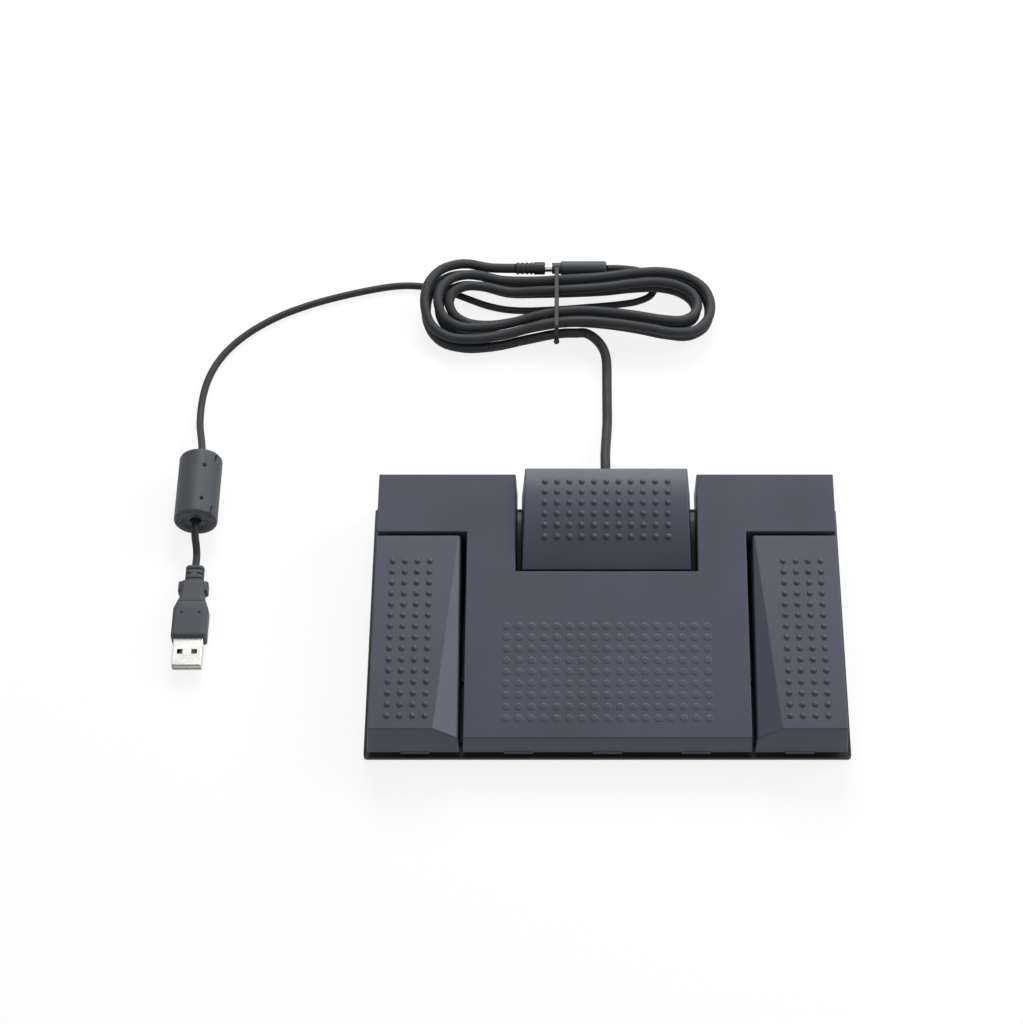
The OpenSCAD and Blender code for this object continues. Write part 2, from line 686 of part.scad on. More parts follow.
centre_ears = [centre_posts[0] + ear_t + ear_play, centre_posts[1] - ear_t - ear_play];
module centre_pedal() {
    plunger_top = plunger_z(centre_switch_lift, centre_drop);
    stop_top = z_floor + stop_h + drop(y_centre_pin, centre_stop.y, centre_travel) + touch_gap;
    color(shell_colour) difference() {
        union() {
            difference() {
                centre_form(0, z_skirt);
                centre_form(wall, 0);
            }
            intersection() {
                centre_form(wall / 2, z_floor);
                union() {
                    post(centre_switch_at, plunger_top + touch_gap, 5);
                    both() {
                        spring_seat(centre_spring_at, centre_under(centre_spring_at.y) - seat_t);
                        post(centre_stop, stop_top, stop_d - 1);
                        for (x = centre_ears) ear(x, y_centre_pin);
                    }
                }
            }
            for (i = [0:centre_cols - 1], j = [0:centre_rows - 1])
                translate([(i - (centre_cols - 1) / 2) * stud_pitch, y_centre_edge, centre_top(y_centre_edge)])
                    rotate([centre_slope, 0, 0])
                        translate([0, centre_stud_front + j * stud_pitch, 0]) stud(low_stud_d, low_stud_h);
            for (x = [-centre_tab_x, 0, centre_tab_x])
                translate([x - tab_w / 2, y_front, z_skirt - tab_h]) cube([tab_w, wall, tab_h + wall]);
        }
        // Hidden walls end higher than the front and outer ones
        both() translate([x_stem - wall - over, y_front + 2 * wall, 0]) cube([wall + 1, body_d, z_lane]);
        translate([-x_out + wall + 1, y_notch - wall - over, 0]) cube([2 * (x_out - wall - 1), body_d, z_back]);
        both() x_bar(centre_posts[0], centre_posts[1] + ear_t, y_centre_pin, z_pin, pin_d + 2 * pin_run);
    }
}

// Outer form of the top pedal, with every face moved in by g and its foot at height z
module top_form(g, z) {
    h = top_back_edge.y + 10 - z;
    difference() {
        intersection() {
            translate([-top_w, y_top_front + g, z]) cube([2 * top_w, y_back - y_top_front - 2 * g, h]);
            translate([0, crown_c.x, crown_c.y]) rotate([0, 90, 0])
                cylinder(r = crown_r - g, h = 4 * top_w, center = true, $fn = 360);
        }
        both() beyond([top_w / 2 - g / cos(top_draft), 0, z_top_skirt], [cos(top_draft), 0, sin(top_draft)]);
    }
}

top_ears = [top_posts[0] + ear_t + ear_play, top_posts[1] - ear_t - ear_play];
module top_pedal() {
    plunger_top = plunger_z(top_switch_lift, top_drop);
    spring_top = crown_top(top_spring_at.y - spring_d / 2) - wall - seat_t;
    color(shell_colour) difference() {
        union() {
            difference() {
                top_form(0, z_top_skirt);
                top_form(wall, 0);
            }
            intersection() {
                top_form(wall / 2, z_floor);
                union() {
                    post(top_switch_at, plunger_top + touch_gap, 5);
                    spring_seat(top_spring_at, spring_top);
                    for (x = top_ears) ear(x, y_top_pin);
                }
            }
            for (i = [0:top_cols - 1], j = [0:top_rows - 1]) {
                a = crown_back_a + (top_stud_back + j * stud_pitch) / crown_r * 180 / PI;
                translate([
                    (i - (top_cols - 1) / 2) * stud_pitch,
                    crown_c.x + crown_r * cos(a), crown_c.y + crown_r * sin(a)
                ]) rotate([a - 90, 0, 0]) stud(stud_d, stud_h);
            }
        }
        translate([-arch_w / 2, y_back - wall - 1, 0]) cube([arch_w, wall + 2, z_top_skirt + 4]);
        x_bar(top_posts[0], top_posts[1] + ear_t, y_top_pin, z_pin, pin_d + 2 * pin_run);
    }
}

// Hinge pins

module side_pin() { x_bar(side_posts[0] - 0.5, side_posts[1] + ear_t + 0.5, y_side_pin, z_pin, pin_d); }
module centre_pin() { x_bar(centre_posts[0] - 0.5, centre_posts[1] + ear_t + 0.5, y_centre_pin, z_pin, pin_d); }
module right_hinge_pin() { color(steel_colour) side_pin(); }
module left_hinge_pin() { color(steel_colour) mirror([1, 0, 0]) side_pin(); }
module centre_hinge_pin_right() { color(steel_colour) centre_pin(); }
module centre_hinge_pin_left() { color(steel_colour) mirror([1, 0, 0]) centre_pin(); }
module top_hinge_pin() {
    color(steel_colour) x_bar(top_posts[0] - 0.5, top_posts[1] + ear_t + 0.5, y_top_pin, z_pin, pin_d);
}

// Return springs: a helix between the chassis and the pedal's seat

module coil(at, z0, z1) {
    r = (spring_d - spring_wire) / 2;
    n = round(spring_turns * 10);
    rise = z1 - z0 - spring_wire - 0.2;
    pts = [for (k = [0:n]) [
        at.x + r * cos(36 * k), at.y + r * sin(36 * k), z0 + 0.1 + spring_wire / 2 + rise * k / n
    ]];
    color(steel_colour) tube(pts, spring_wire / 2, 6);
}
module side_coil(s) {
    at = [s * side_spring.x, side_spring.y];
    coil(at, z_floor + side_spring_lift, side_under(side_spring.y) - seat_t - 0.2);
}
module centre_coil(s) {
    at = [s * centre_spring_at.x, centre_spring_at.y];
    coil(at, z_floor, centre_under(centre_spring_at.y) - seat_t - 0.2);
}
module left_spring() { side_coil(-1); }
module right_spring() { side_coil(1); }
module centre_spring_left() { centre_coil(-1); }
module centre_spring_right() { centre_coil(1); }
module top_spring() {
    z1 = crown_top(top_spring_at.y - spring_d / 2) - wall - seat_t;
    coil(top_spring_at, z_floor + top_spring_lift, z1 - 0.2);
}

// Switches: a body with a bored collar, and the plunger that slides in it

collar_d = 5;
collar_h = 0.4;
module switch_body(at, lift, dz) {
    z0 = z_floor + lift;
    color([0.12, 0.12, 0.13]) difference() {
        union() {
            translate([at.x - switch_t / 2, at.y - switch_w / 2, z0]) cube([switch_t, switch_w, switch_h - collar_h]);
            translate([at.x, at.y, z0]) cylinder(d = collar_d, h = switch_h);
        }
        translate([at.x, at.y, z0 + switch_h - dz - 2.4])
            cylinder(d = plunger_d + 2 * pin_run, h = switch_h);
    }
}
module plunger(at, lift, dz) {
    top = plunger_z(lift, dz);
    color([0.7, 0.12, 0.1]) translate([at.x, at.y, top - dz - 2.2]) {
        cylinder(d = plunger_d, h = dz + 1.8);
        translate([0, 0, dz + 1.8]) cylinder(d1 = plunger_d, d2 = plunger_d - 0.6, h = 0.4);
    }
}
left_switch_at = [-side_switch.x, side_switch.y];
module left_switch() { switch_body(left_switch_at, side_switch_lift, side_drop); }
module right_switch() { switch_body(side_switch, side_switch_lift, side_drop); }
module centre_switch() { switch_body(centre_switch_at, centre_switch_lift, centre_drop); }
module top_switch() { switch_body(top_switch_at, top_switch_lift, top_drop); }
module left_plunger() { plunger(left_switch_at, side_switch_lift, side_drop); }
module right_plunger() { plunger(side_switch, side_switch_lift, side_drop); }
module centre_plunger() { plunger(centre_switch_at, centre_switch_lift, centre_drop); }
module top_plunger() { plunger(top_switch_at, top_switch_lift, top_drop); }

module bump_stops() {
    color([0.1, 0.1, 0.1]) both() for (p = [side_stop, centre_stop])
        translate([p.x, p.y, z_floor]) cylinder(d = stop_d, h = stop_h);
}

// Board, wires and the lead inside

module main_board() {
    color([0.1, 0.35, 0.18]) difference() {
        translate([-board_w / 2, board_y - board_d / 2, z_board]) cube([board_w, board_d, board_t]);
        for (p = board_holes) translate([p.x, p.y, 0]) cylinder(d = 2.4, h = 40);
    }
}
module board_screws() {
    color(steel_colour) for (p = board_holes) translate([p.x, p.y, 0]) {
        translate([0, 0, z_board + board_t]) cylinder(d = 4.2, h = 1.4);
        translate([0, 0, z_board - 3]) cylinder(d = 2 - 2 * screw_fit, h = board_t + 3.5);
    }
}
chip_w = 7;
module controller_chip() {
    z0 = z_board + board_t;
    color([0.13, 0.13, 0.14]) {
        translate([-15 - chip_w / 2, board_y - chip_w / 2, z0 + 0.2]) cube([chip_w, chip_w, 1.4]);
        for (k = [0:7]) translate([-15 - chip_w / 2 - 1, board_y - 2.8 + 0.8 * k - 0.15, z0])
            cube([chip_w + 2, 0.3, 0.6]);
    }
}
module cord_header() {
    color([0.9, 0.89, 0.85]) translate([-header_w / 2, header_y - header_d / 2, z_board + board_t])
        cube([header_w, header_d, header_h]);
}

// A wire of straight runs with round elbows
module wire(pts) {
    for (i = [0:len(pts) - 2]) {
        v = pts[i + 1] - pts[i];
        translate(pts[i]) rotate([0, acos(v.z / norm(v)), atan2(v.y, v.x)]) cylinder(d = wire_d, h = norm(v));
        if (i > 0) translate(pts[i]) sphere(d = wire_d);
    }
}
wire_z = z_floor + wire_d / 2 + 0.1;
module wire_harness() {
    x_board = board_w / 2 - 8.5;
    z_under = z_board - 0.1;
    color([0.75, 0.15, 0.12]) {
        both() wire([
            [side_switch.x - switch_t / 2 - 1.8, side_switch.y, wire_z], [x_board, side_switch.y, wire_z],
            [x_board, board_y, wire_z], [x_board, board_y, z_under]
        ]);
        wire([
            [centre_switch_at.x, centre_switch_at.y + switch_w / 2 + 2.2, wire_z],
            [centre_switch_at.x, board_y - 6, wire_z], [centre_switch_at.x, board_y - 6, z_under]
        ]);
        wire([
            [top_switch_at.x, top_switch_at.y - switch_w / 2 - 2.2, wire_z], [-15, y_top_pin + 2, wire_z],
            [-15, board_y + 6, wire_z], [-15, board_y + 6, z_under]
        ]);
    }
}
module inner_cord() { color(cord_colour) tube(inner_route, cord_d / 2, 8); }

module cord_clamp() {
    color([0.16, 0.16, 0.17]) difference() {
        translate([-clamp_x - 3, clamp_y - 3, cord_z + 0.3]) cube([2 * clamp_x + 6, 6, 3.4]);
        y_bar(0, clamp_y - 5, clamp_y + 5, cord_z, cord_d + 0.1);
        for (sx = [-1, 1]) translate([sx * clamp_x, clamp_y, 0]) cylinder(d = 2.4, h = 40);
    }
}
module clamp_screws() {
    color(steel_colour) for (sx = [-1, 1]) translate([sx * clamp_x, clamp_y, 0]) {
        translate([0, 0, cord_z + 3.7]) cylinder(d = 4, h = 1.2);
        translate([0, 0, cord_z - 4]) cylinder(d = 2 - 2 * screw_fit, h = 8);
    }
}

module strain_relief() {
    y0 = gate_y - gate_t - flange_t;
    color([0.14, 0.14, 0.15]) {
        y_bar(0, y0, gate_y + 6, cord_z, boot_d);
        y_bar(0, gate_y - flange_t + 0.1, gate_y - 0.1, cord_z, flange_d);
        y_bar(0, gate_y + 6, boot_end_y, cord_z, boot_d, boot_end_d);
    }
}

// Cords and what is on them

module main_lead() { color(cord_colour) tube(main_route, cord_d / 2, 10); }
module cord_hank() {
    echo(hank_least_gap = hank_gap);
    color(cord_colour) tube(hank_pts, cord_d / 2, 6);
}
module hank_tie() {
    w = tie_y[1] - tie_y[0];
    h = tie_z[1] - tie_z[0];
    color([0.17, 0.17, 0.18])
        translate([tie_x - tie_w / 2, (tie_y[0] + tie_y[1]) / 2, (tie_z[0] + tie_z[1]) / 2])
            rotate([90, 0, 90]) linear_extrude(tie_w) difference() {
                round_rect(w + 2 * tie_t, h + 2 * tie_t, 2 + tie_t);
                round_rect(w, h, 2);
            }
}

module inline_plug() {
    x0 = plug_at.x;
    color([0.15, 0.16, 0.17]) {
        x_bar(x0, x0 + relief_l, plug_at.y, plug_at.z, cord_d + 0.4);
        for (k = [0:3]) x_bar(x0 + 0.4 + 2 * k, x0 + 1.6 + 2 * k, plug_at.y, plug_at.z, relief_d);
        x_bar(x0 + relief_l, x0 + relief_l + iplug_l, plug_at.y, plug_at.z, iplug_d);
    }
}
module inline_plug_pin() {
    color(steel_colour) x_bar(sock_x - pin_gap, sock_x + 8, plug_at.y, plug_at.z, ipin_d);
}
module inline_socket() {
    color([0.28, 0.3, 0.32]) difference() {
        union() {
            x_bar(sock_x, sock_x + neck_l, plug_at.y, plug_at.z, neck_d);
            x_bar(sock_x + neck_l, sock_end, plug_at.y, plug_at.z, sock_d);
        }
        x_bar(sock_x - 1, sock_x + 9, plug_at.y, plug_at.z, ipin_d + 0.04);
    }
}

module usb_lead() { color(cord_colour) tube(usb_route, usb_d / 2, 8); }
module usb_tail() { color(cord_colour) tube(tail_route, usb_d / 2, 8); }

// Ferrite: two case halves with latches, round a core sleeve
case_wall = 2;
core_bore = usb_d + 1.4;
module ferrite_case() {
    y0 = ferrite_c.y - ferrite_l / 2;
    difference() {
        union() {
            y_bar(ferrite_c.x, y0 + 1, y0 + ferrite_l - 1, ferrite_z, ferrite_d);
            y_bar(ferrite_c.x, y0, y0 + 1 + over, ferrite_z, ferrite_d - 2, ferrite_d);
            y_bar(ferrite_c.x, y0 + ferrite_l - 1 - over, y0 + ferrite_l, ferrite_z, ferrite_d, ferrite_d - 2);
        }
        y_bar(ferrite_c.x, y0 + case_wall, y0 + ferrite_l - case_wall, ferrite_z, ferrite_d - 2 * case_wall);
        // Dimples on the upper half and latch windows at the side
        for (k = [-1, 1]) {
            translate([ferrite_c.x + 3, ferrite_c.y + 6.5 * k, ferrite_z + ferrite_d / 2 - 1.4])
                cylinder(d = 1.6, h = 5);
            translate([ferrite_c.x + ferrite_d / 2 - 1.1, ferrite_c.y + 10.5 * k - 1.5, ferrite_z - 1.5])
                cube([3, 3, 3]);
        }
    }
}
module ferrite_case_upper() {
    color([0.27, 0.28, 0.3]) difference() {
        ferrite_case();
        translate([ferrite_c.x - 50, ferrite_c.y - 50, ferrite_z - 100]) cube([100, 100, 100]);
    }
}
module ferrite_case_lower() {
    color([0.27, 0.28, 0.3]) difference() {
        ferrite_case();
        translate([ferrite_c.x - 50, ferrite_c.y - 50, ferrite_z]) cube([100, 100, 100]);
    }
}
module ferrite_core() {
    d = ferrite_d - 2 * case_wall - 0.1;
    l = ferrite_l - 2 * case_wall - 0.1;
    color([0.2, 0.2, 0.21]) difference() {
        y_bar(ferrite_c.x, ferrite_c.y - l / 2, ferrite_c.y + l / 2, ferrite_z, d);
        y_bar(ferrite_c.x, ferrite_c.y - l, ferrite_c.y + l, ferrite_z, core_bore);
    }
}

// Plug: a ribbed relief, shoulders and a body moulded round a folded metal shell
shell_w = 12;
shell_h = 4.5;
shell_t = 0.35;
shell_out = 12.5;
shell_in = 6;
body_front = -6;
body_len = 20;
body_w_plug = 15.2;
body_h_plug = 8;
shoulder_w = 11.7;
relief_w = 7;
module block(x, y0, y1, z, w, h, r) {
    translate([x, y1, z]) rotate([90, 0, 0]) linear_extrude(y1 - y0) round_rect(w, h, r);
}
module usb_plug_body() {
    y1 = body_front + body_len;
    color([0.26, 0.27, 0.29]) difference() {
        union() {
            block(plug_x, body_front, y1, plug_z, body_w_plug, body_h_plug, 1.6);
            block(plug_x, y1, y1 + 3, plug_z, shoulder_w - 3, body_h_plug - 1.6, 1.6);
            block(plug_x, y1 + 3, y1 + 9, plug_z, shoulder_w, body_h_plug - 0.8, 1.6);
            y_bar(plug_x, y1 + 9, plug_back, plug_z, usb_d + 1.6);
            for (k = [0:3]) y_bar(plug_x, y1 + 9 + 2 * k, y1 + 10.2 + 2 * k, plug_z, relief_w - 0.4 * k);
        }
        block(plug_x, body_front - 1, body_front + shell_in, plug_z, shell_w, shell_h, 0.5);
    }
}
module usb_shell() {
    y0 = body_front - shell_out;
    color([0.82, 0.83, 0.84]) difference() {
        block(plug_x, y0, body_front + shell_in, plug_z, shell_w, shell_h, 0.5);
        block(plug_x, y0 - 1, body_front + shell_in - 0.4, plug_z, shell_w - 2 * shell_t, shell_h - 2 * shell_t, 0.3);
        for (sx = [-1, 1], sz = [-1, 1])
            translate([plug_x + sx * 2.9 - 1.15, body_front - 7.6, plug_z + sz * shell_h / 2 - 1])
                cube([2.3, 2.3, 2]);
    }
}
tongue_h = 1.85;
tongue_gap = 0.1;
module usb_tongue() {
    inset = shell_t + tongue_gap;
    color([0.93, 0.93, 0.92])
        translate([plug_x - shell_w / 2 + inset, body_front - shell_out + 0.6, plug_z - shell_h / 2 + inset])
            cube([shell_w - 2 * inset, shell_out + shell_in - 1, tongue_h]);
}
module usb_contacts() {
    color([0.8, 0.66, 0.3]) for (k = [-3.5, -1, 1, 3.5])
        translate([plug_x + k - 0.5, body_front - shell_out + 2, plug_z - shell_h / 2 + shell_t + tongue_gap + tongue_h])
            cube([1, 8, 0.15]);
}

base_tray();
rubber_feet();
chassis();
chassis_screws();
left_pedal();
right_pedal();
centre_pedal();
top_pedal();
left_hinge_pin();
right_hinge_pin();
centre_hinge_pin_left();
centre_hinge_pin_right();
top_hinge_pin();
left_spring();
right_spring();
centre_spring_left();
centre_spring_right();
top_spring();
left_switch();
right_switch();
centre_switch();
top_switch();
left_plunger();
right_plunger();
centre_plunger();
top_plunger();
bump_stops();
main_board();
board_screws();
controller_chip();
cord_header();
wire_harness();
inner_cord();
cord_clamp();
clamp_screws();
strain_relief();
main_lead();
cord_hank();
hank_tie();
inline_plug();
inline_plug_pin();
inline_socket();
usb_lead();
ferrite_case_upper();
ferrite_case_lower();
ferrite_core();
usb_tail();
usb_plug_body();
usb_shell();
usb_tongue();
usb_contacts();
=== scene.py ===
"""Looks of a foot control with four hinged pedals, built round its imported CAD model.

Lengths inside the shape functions are millimetres, as in the part's source; meshes are metres.
"""

import json

import bmesh
import bpy
import numpy as np
from bpy.props import FloatProperty, FloatVectorProperty, IntProperty, PointerProperty
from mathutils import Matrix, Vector


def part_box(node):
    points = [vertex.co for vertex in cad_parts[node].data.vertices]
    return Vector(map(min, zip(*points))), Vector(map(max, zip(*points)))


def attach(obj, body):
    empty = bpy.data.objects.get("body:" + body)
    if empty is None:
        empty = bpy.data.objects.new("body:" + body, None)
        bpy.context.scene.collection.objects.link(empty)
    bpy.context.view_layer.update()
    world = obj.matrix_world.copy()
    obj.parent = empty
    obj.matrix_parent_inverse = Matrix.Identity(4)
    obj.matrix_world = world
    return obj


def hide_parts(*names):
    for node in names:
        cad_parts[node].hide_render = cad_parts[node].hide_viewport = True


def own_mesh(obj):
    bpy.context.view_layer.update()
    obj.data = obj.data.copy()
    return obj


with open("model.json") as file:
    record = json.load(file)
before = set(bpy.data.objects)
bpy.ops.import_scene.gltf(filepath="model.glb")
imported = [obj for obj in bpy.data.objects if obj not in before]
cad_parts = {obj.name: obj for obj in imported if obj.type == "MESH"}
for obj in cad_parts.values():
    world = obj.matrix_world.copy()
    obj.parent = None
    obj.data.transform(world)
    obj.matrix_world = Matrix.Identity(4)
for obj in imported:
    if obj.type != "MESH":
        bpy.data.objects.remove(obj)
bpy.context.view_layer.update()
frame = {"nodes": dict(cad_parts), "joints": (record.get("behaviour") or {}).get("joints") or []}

bl_info = {
    "name": "Foot Control Looks",
    "version": (1, 0, 0),
    "blender": (4, 5, 0),
    "location": "View3D > Sidebar > Foot Control",
    "description": "Builds the visible pieces of a four-pedal foot control",
    "category": "Object",
}

MM = 0.001


def linear(red, green, blue):
    """An 8-bit sRGB colour as linear light: ((c + 0.055) / 1.055) ^ 2.4, or c / 12.92 when dark."""
    c = np.array([red, green, blue]) / 255
    return tuple(np.where(c > 0.04045, ((c + 0.055) / 1.055) ** 2.4, c / 12.92))


def unit(v):
    """Vectors along the last axis, scaled to length 1."""
    return v / np.linalg.norm(v, axis=-1, keepdims=True)


def tan(degrees):
    """Tangent of an angle in degrees."""
    return np.tan(np.radians(degrees))


def full_turn(sides):
    """Angles of a full turn in equal steps, without the last one, which is the first again."""
    return np.linspace(0, 2 * np.pi, sides, endpoint=False)


def quarter_turn(steps):
    """Angles from 0 to a quarter turn in equal steps."""
    return np.linspace(0, np.pi / 2, steps + 1)


def ease(k):
    """k^2 (3 - 2 k), with k held between 0 and 1."""
    k = np.clip(k, 0, 1)
    return k * k * (3 - 2 * k)


def fade(distance, reach):
    """1 at distance 0, easing to 0 at the reach."""
    return ease(1 - distance / reach)


# Sizes of the part's source

WALL = 2.2
FOOT_FRONT, FOOT_LANE, FOOT_BACK = 5.6, 8.0, 12.8
Y_FRONT, Y_BACK, Y_ARM, Y_NOTCH, Y_SIDE_BACK = -58.25, 59.05, 33.05, 15.25, 31.5
X_OUT, X_IN, X_STEM, X_NOTCH = 94.5, 59.2, 56.6, 37.0
X_SIDE = (X_IN + X_OUT) / 2
FRONT_DRAFT, SIDE_DRAFT, TOP_DRAFT = 7.7, 4.5, 4.9
CENTRE_HEIGHT, CENTRE_SLOPE = 9.4, 6.4
SIDE_HEIGHT, SIDE_SLOPE, CREASE_DROP = 15.1, 2.6, 6.2
Y_CENTRE_EDGE = Y_FRONT + CENTRE_HEIGHT * tan(FRONT_DRAFT)
Y_SIDE_EDGE = Y_FRONT + SIDE_HEIGHT * tan(FRONT_DRAFT)
Z_PIN = 15.0
EAR_T, EAR_W, EAR_PLAY, PIN_BORE = 3.5, 7.0, 0.5, 3.1
TAB_W, TAB_H = 11.4, 0.8
STUD_D, STUD_PITCH = 2.6, 5.0
CROWN_R, TOP_HALF, Y_TOP_FRONT = 60.0, 34.9, Y_NOTCH + 1.5
SPRING_WIRE, SPRING_TURNS = 1.0, 4

# Finer than the source: leaning walls with feet that come closer to each other, and the studs and tabs

STEM_DRAFT, INNER_DRAFT, NOTCH_DRAFT, OUTER_DRAFT = 3.0, 4.5, 2.0, 3.5
STEM_FEET = X_STEM + 0.5, X_STEM + 1.1
INNER_FEET = X_IN - 1.2, X_IN - 1.3
NOTCH_FOOT = X_NOTCH - 0.75
SIDE_FOOT, ARM_FOOT, BACK_FOOT = X_OUT + 0.1, X_OUT + 0.4, Y_BACK + 0.4
CREASE_IN, TAB_LEAN, TAB_ROOT = 9.1, 0.35, 0.6
STUD_H, LOW_STUD_D, LOW_STUD_H = 0.9, 3.2, 0.18
CROWN_FIRST, CROWN_PITCH = 7.0, 4.87

# Posts under the pedals: a spring's seat and its spigot, what presses a switch, and a stop

SEAT_D, SPIGOT_D, SPIGOT_L, PRESSER_D, STOP_D = 12, 7, 1.8, 5, 6
PRESSER_GAP = 0.3


def centre_top(y):
    """Height of the centre pedal's sloped top."""
    return FOOT_FRONT + CENTRE_HEIGHT + (y - Y_CENTRE_EDGE) * tan(CENTRE_SLOPE)


def side_top(y):
    """Height of a side pedal's sloped top."""
    return FOOT_FRONT + SIDE_HEIGHT + (y - Y_SIDE_EDGE) * tan(SIDE_SLOPE)


TOP_EDGES = np.array([[Y_TOP_FRONT, centre_top(Y_NOTCH) - 1.1], [Y_BACK, centre_top(Y_BACK) + 4.8]])


def crown_centre():
    """Centre, in YZ, of the circle of radius CROWN_R through the top pedal's front and back edges."""
    chord = TOP_EDGES[1] - TOP_EDGES[0]
    half = np.linalg.norm(chord) / 2
    up = np.array([-chord[1], chord[0]]) / (2 * half)
    return TOP_EDGES.mean(0) - up * np.sqrt(CROWN_R**2 - half**2)


CROWN_C = crown_centre()


def crown_height(y, radius):
    """Height at y of a circle about the crown's centre."""
    return CROWN_C[1] + np.sqrt(radius**2 - (y - CROWN_C[0]) ** 2)


def centre_roof(y):
    """Height a hair below the centre pedal's ceiling."""
    return centre_top(y) - WALL - 0.05


def side_roof(y):
    """Height a hair below a side pedal's ceiling."""
    return side_top(y) - WALL - 0.05


def crown_roof(y):
    """Height of the top pedal's ceiling."""
    return crown_height(y, CROWN_R - WALL)


# Routes of the part's source: the lead from the boot to the hank, and the thin lead to the plug

CORD_D, THIN_D = 4.2, 3.1
BOOT_END = (0.0, 71.0, 8.8)
HANK_C = np.array([-14.5, 164.0])
HANK_A0, HANK_A1, HANK_CLIMB = -92.0, 123.0, 0.4
HANK_TURNS = 5 - (HANK_A1 - HANK_A0) / 360
HANK_IN = (HANK_TURNS - HANK_CLIMB) / 2
HANK_STEP, HANK_PITCH, HANK_HALF, HANK_WAIST, HANK_SWELL = 5.8, 5.2, 65.0, 15.5, 27.0
WAIST_LIFT, WAIST_LIFT_U, WAIST_LIFT_W = 5.6, 14.0, 34.0
END_LIFT, END_LIFT_AT, END_LIFT_W = 4.2, np.array([-54.0, 12.0]), 20.0
LEAD_POINTS = [
    BOOT_END, (0, 76, 8.8), (0, 83, 7.6), (0.3, 90.5, 5.2), (0.7, 98, 3), (1, 105, 2.1), (1, 112, 2.1),
    (1, 120, 2.1), (1, 127, 2.1), (1, 132, 2.5), (0.8, 136.8, 3.5), (-0.4, 141.4, 4.9), (-3.4, 145.6, 6.2),
]
FERRITE_C, FERRITE_D, FERRITE_L = np.array([-170.0, 64.0, 9.0]), 18.0, 32.0
PLUG_X, PLUG_Z, PLUG_BACK = -169.0, 4.2, 31.0


def hank_route(t):
    """Points of the hank at t turns: loops that shrink by HANK_STEP a turn, climb a layer and grow again.

    In plan u = (half - i) cos a and v = sin a (waist - i + (swell - i) cos^2 a); two swells lift it.
    """
    a = np.radians(HANK_A0 - 360 * t)
    growing = np.where(t < HANK_IN + HANK_CLIMB, HANK_IN, HANK_TURNS - t)
    i = HANK_STEP * np.where(t < HANK_IN, t, growing)
    u = (HANK_HALF - i) * np.cos(a)
    v = np.sin(a) * (HANK_WAIST - i + (HANK_SWELL - i) * np.cos(a) ** 2)
    far = np.hypot(u - END_LIFT_AT[0], v - END_LIFT_AT[1])
    z = CORD_D / 2 + HANK_PITCH * ease((t - HANK_IN) / HANK_CLIMB)
    z = z + WAIST_LIFT * np.exp(-(((u - WAIST_LIFT_U) / WAIST_LIFT_W) ** 4))
    z = z + END_LIFT * np.exp(-((far / END_LIFT_W) ** 4))
    return np.stack([HANK_C[0] + u, HANK_C[1] + v, z], -1)


HANK = hank_route(np.linspace(0, HANK_TURNS, round(HANK_TURNS * 24) + 1))
HANK_JOIN = HANK[0] + (CORD_D, 0, 0)
HANK_END = HANK[-1] + (CORD_D * 1.6, -0.6, 0.4)
INLINE_AT = HANK_END + (CORD_D, 0, 0)
MAIN_POINTS = np.vstack([LEAD_POINTS, HANK_JOIN + (CORD_D, 0, 0), HANK_JOIN, HANK, HANK_END, INLINE_AT])
SOCKET_END = INLINE_AT + (40.0, 0, 0)
THIN_PLAN = [
    (22.6, 179.2), (20.6, 174), (15.2, 170.8), (7, 169), (-1, 168), (-9, 167.2), (-17, 166.4),
    (-25, 165.8), (-34, 165.4), (-43, 166), (-52, 168.4), (-60, 172), (-68, 175.6), (-76, 178.2),
    (-84, 179.4), (-92, 179.2), (-100, 177.8), (-108, 175.8), (-116, 173.5), (-125, 170.5), (-134, 166.8),
    (-142.5, 162.5), (-150.5, 157.2), (-157.5, 151.2), (-163.5, 144.4), (-168.2, 136.6), (-171.4, 128),
    (-173, 119),
]
THIN_POINTS = np.vstack([
    SOCKET_END, SOCKET_END + (4.5, 0, 0), (11, 184, 7.6), (16.2, 185, 4.8), (20.6, 183.8, 2.4),
    [(x, y, THIN_D / 2) for x, y in THIN_PLAN],
    (-173.4, 110, 1.8), (-172.8, 101.5, 3.6), (-171.4, 93.5, 6.6), (-170.2, 86, 8.7),
    [FERRITE_C + (0, y, 0) for y in (20.1, 16, 0, -16, -19.1)],
    (-169.7, 41.4, 7.9), (-169.2, 38, 5.6),
    [(PLUG_X, PLUG_BACK + y, PLUG_Z) for y in (3.6, 0, -3.5)],
])


# Surfaces: each shape is (points, [index arrays]), in millimetres


def grid_faces(rows, cols, ring=False, loop=False):
    """Quads of a grid of points, row after row; ring closes the columns and loop closes the rows."""
    r, c = np.meshgrid(np.arange(rows - (not loop)), np.arange(cols - (not ring)), indexing="ij")
    r1, c1 = (r + 1) % rows, (c + 1) % cols
    return np.stack([r * cols + c, r * cols + c1, r1 * cols + c1, r1 * cols + c], -1).reshape(-1, 4)


def sheet(points, ring=False, loop=False):
    """A grid of points of shape (rows, columns, 3) as one surface."""
    rows, cols = points.shape[:2]
    return points.reshape(-1, 3), [grid_faces(rows, cols, ring, loop)]


def capped(points):
    """A tube of rings, shape (rows, columns, 3), with a face over each end ring."""
    rows, cols = points.shape[:2]
    shell, faces = sheet(points, ring=True)
    last = (rows - 1) * cols
    return shell, faces + [np.arange(cols)[None, ::-1], last + np.arange(cols)[None]]


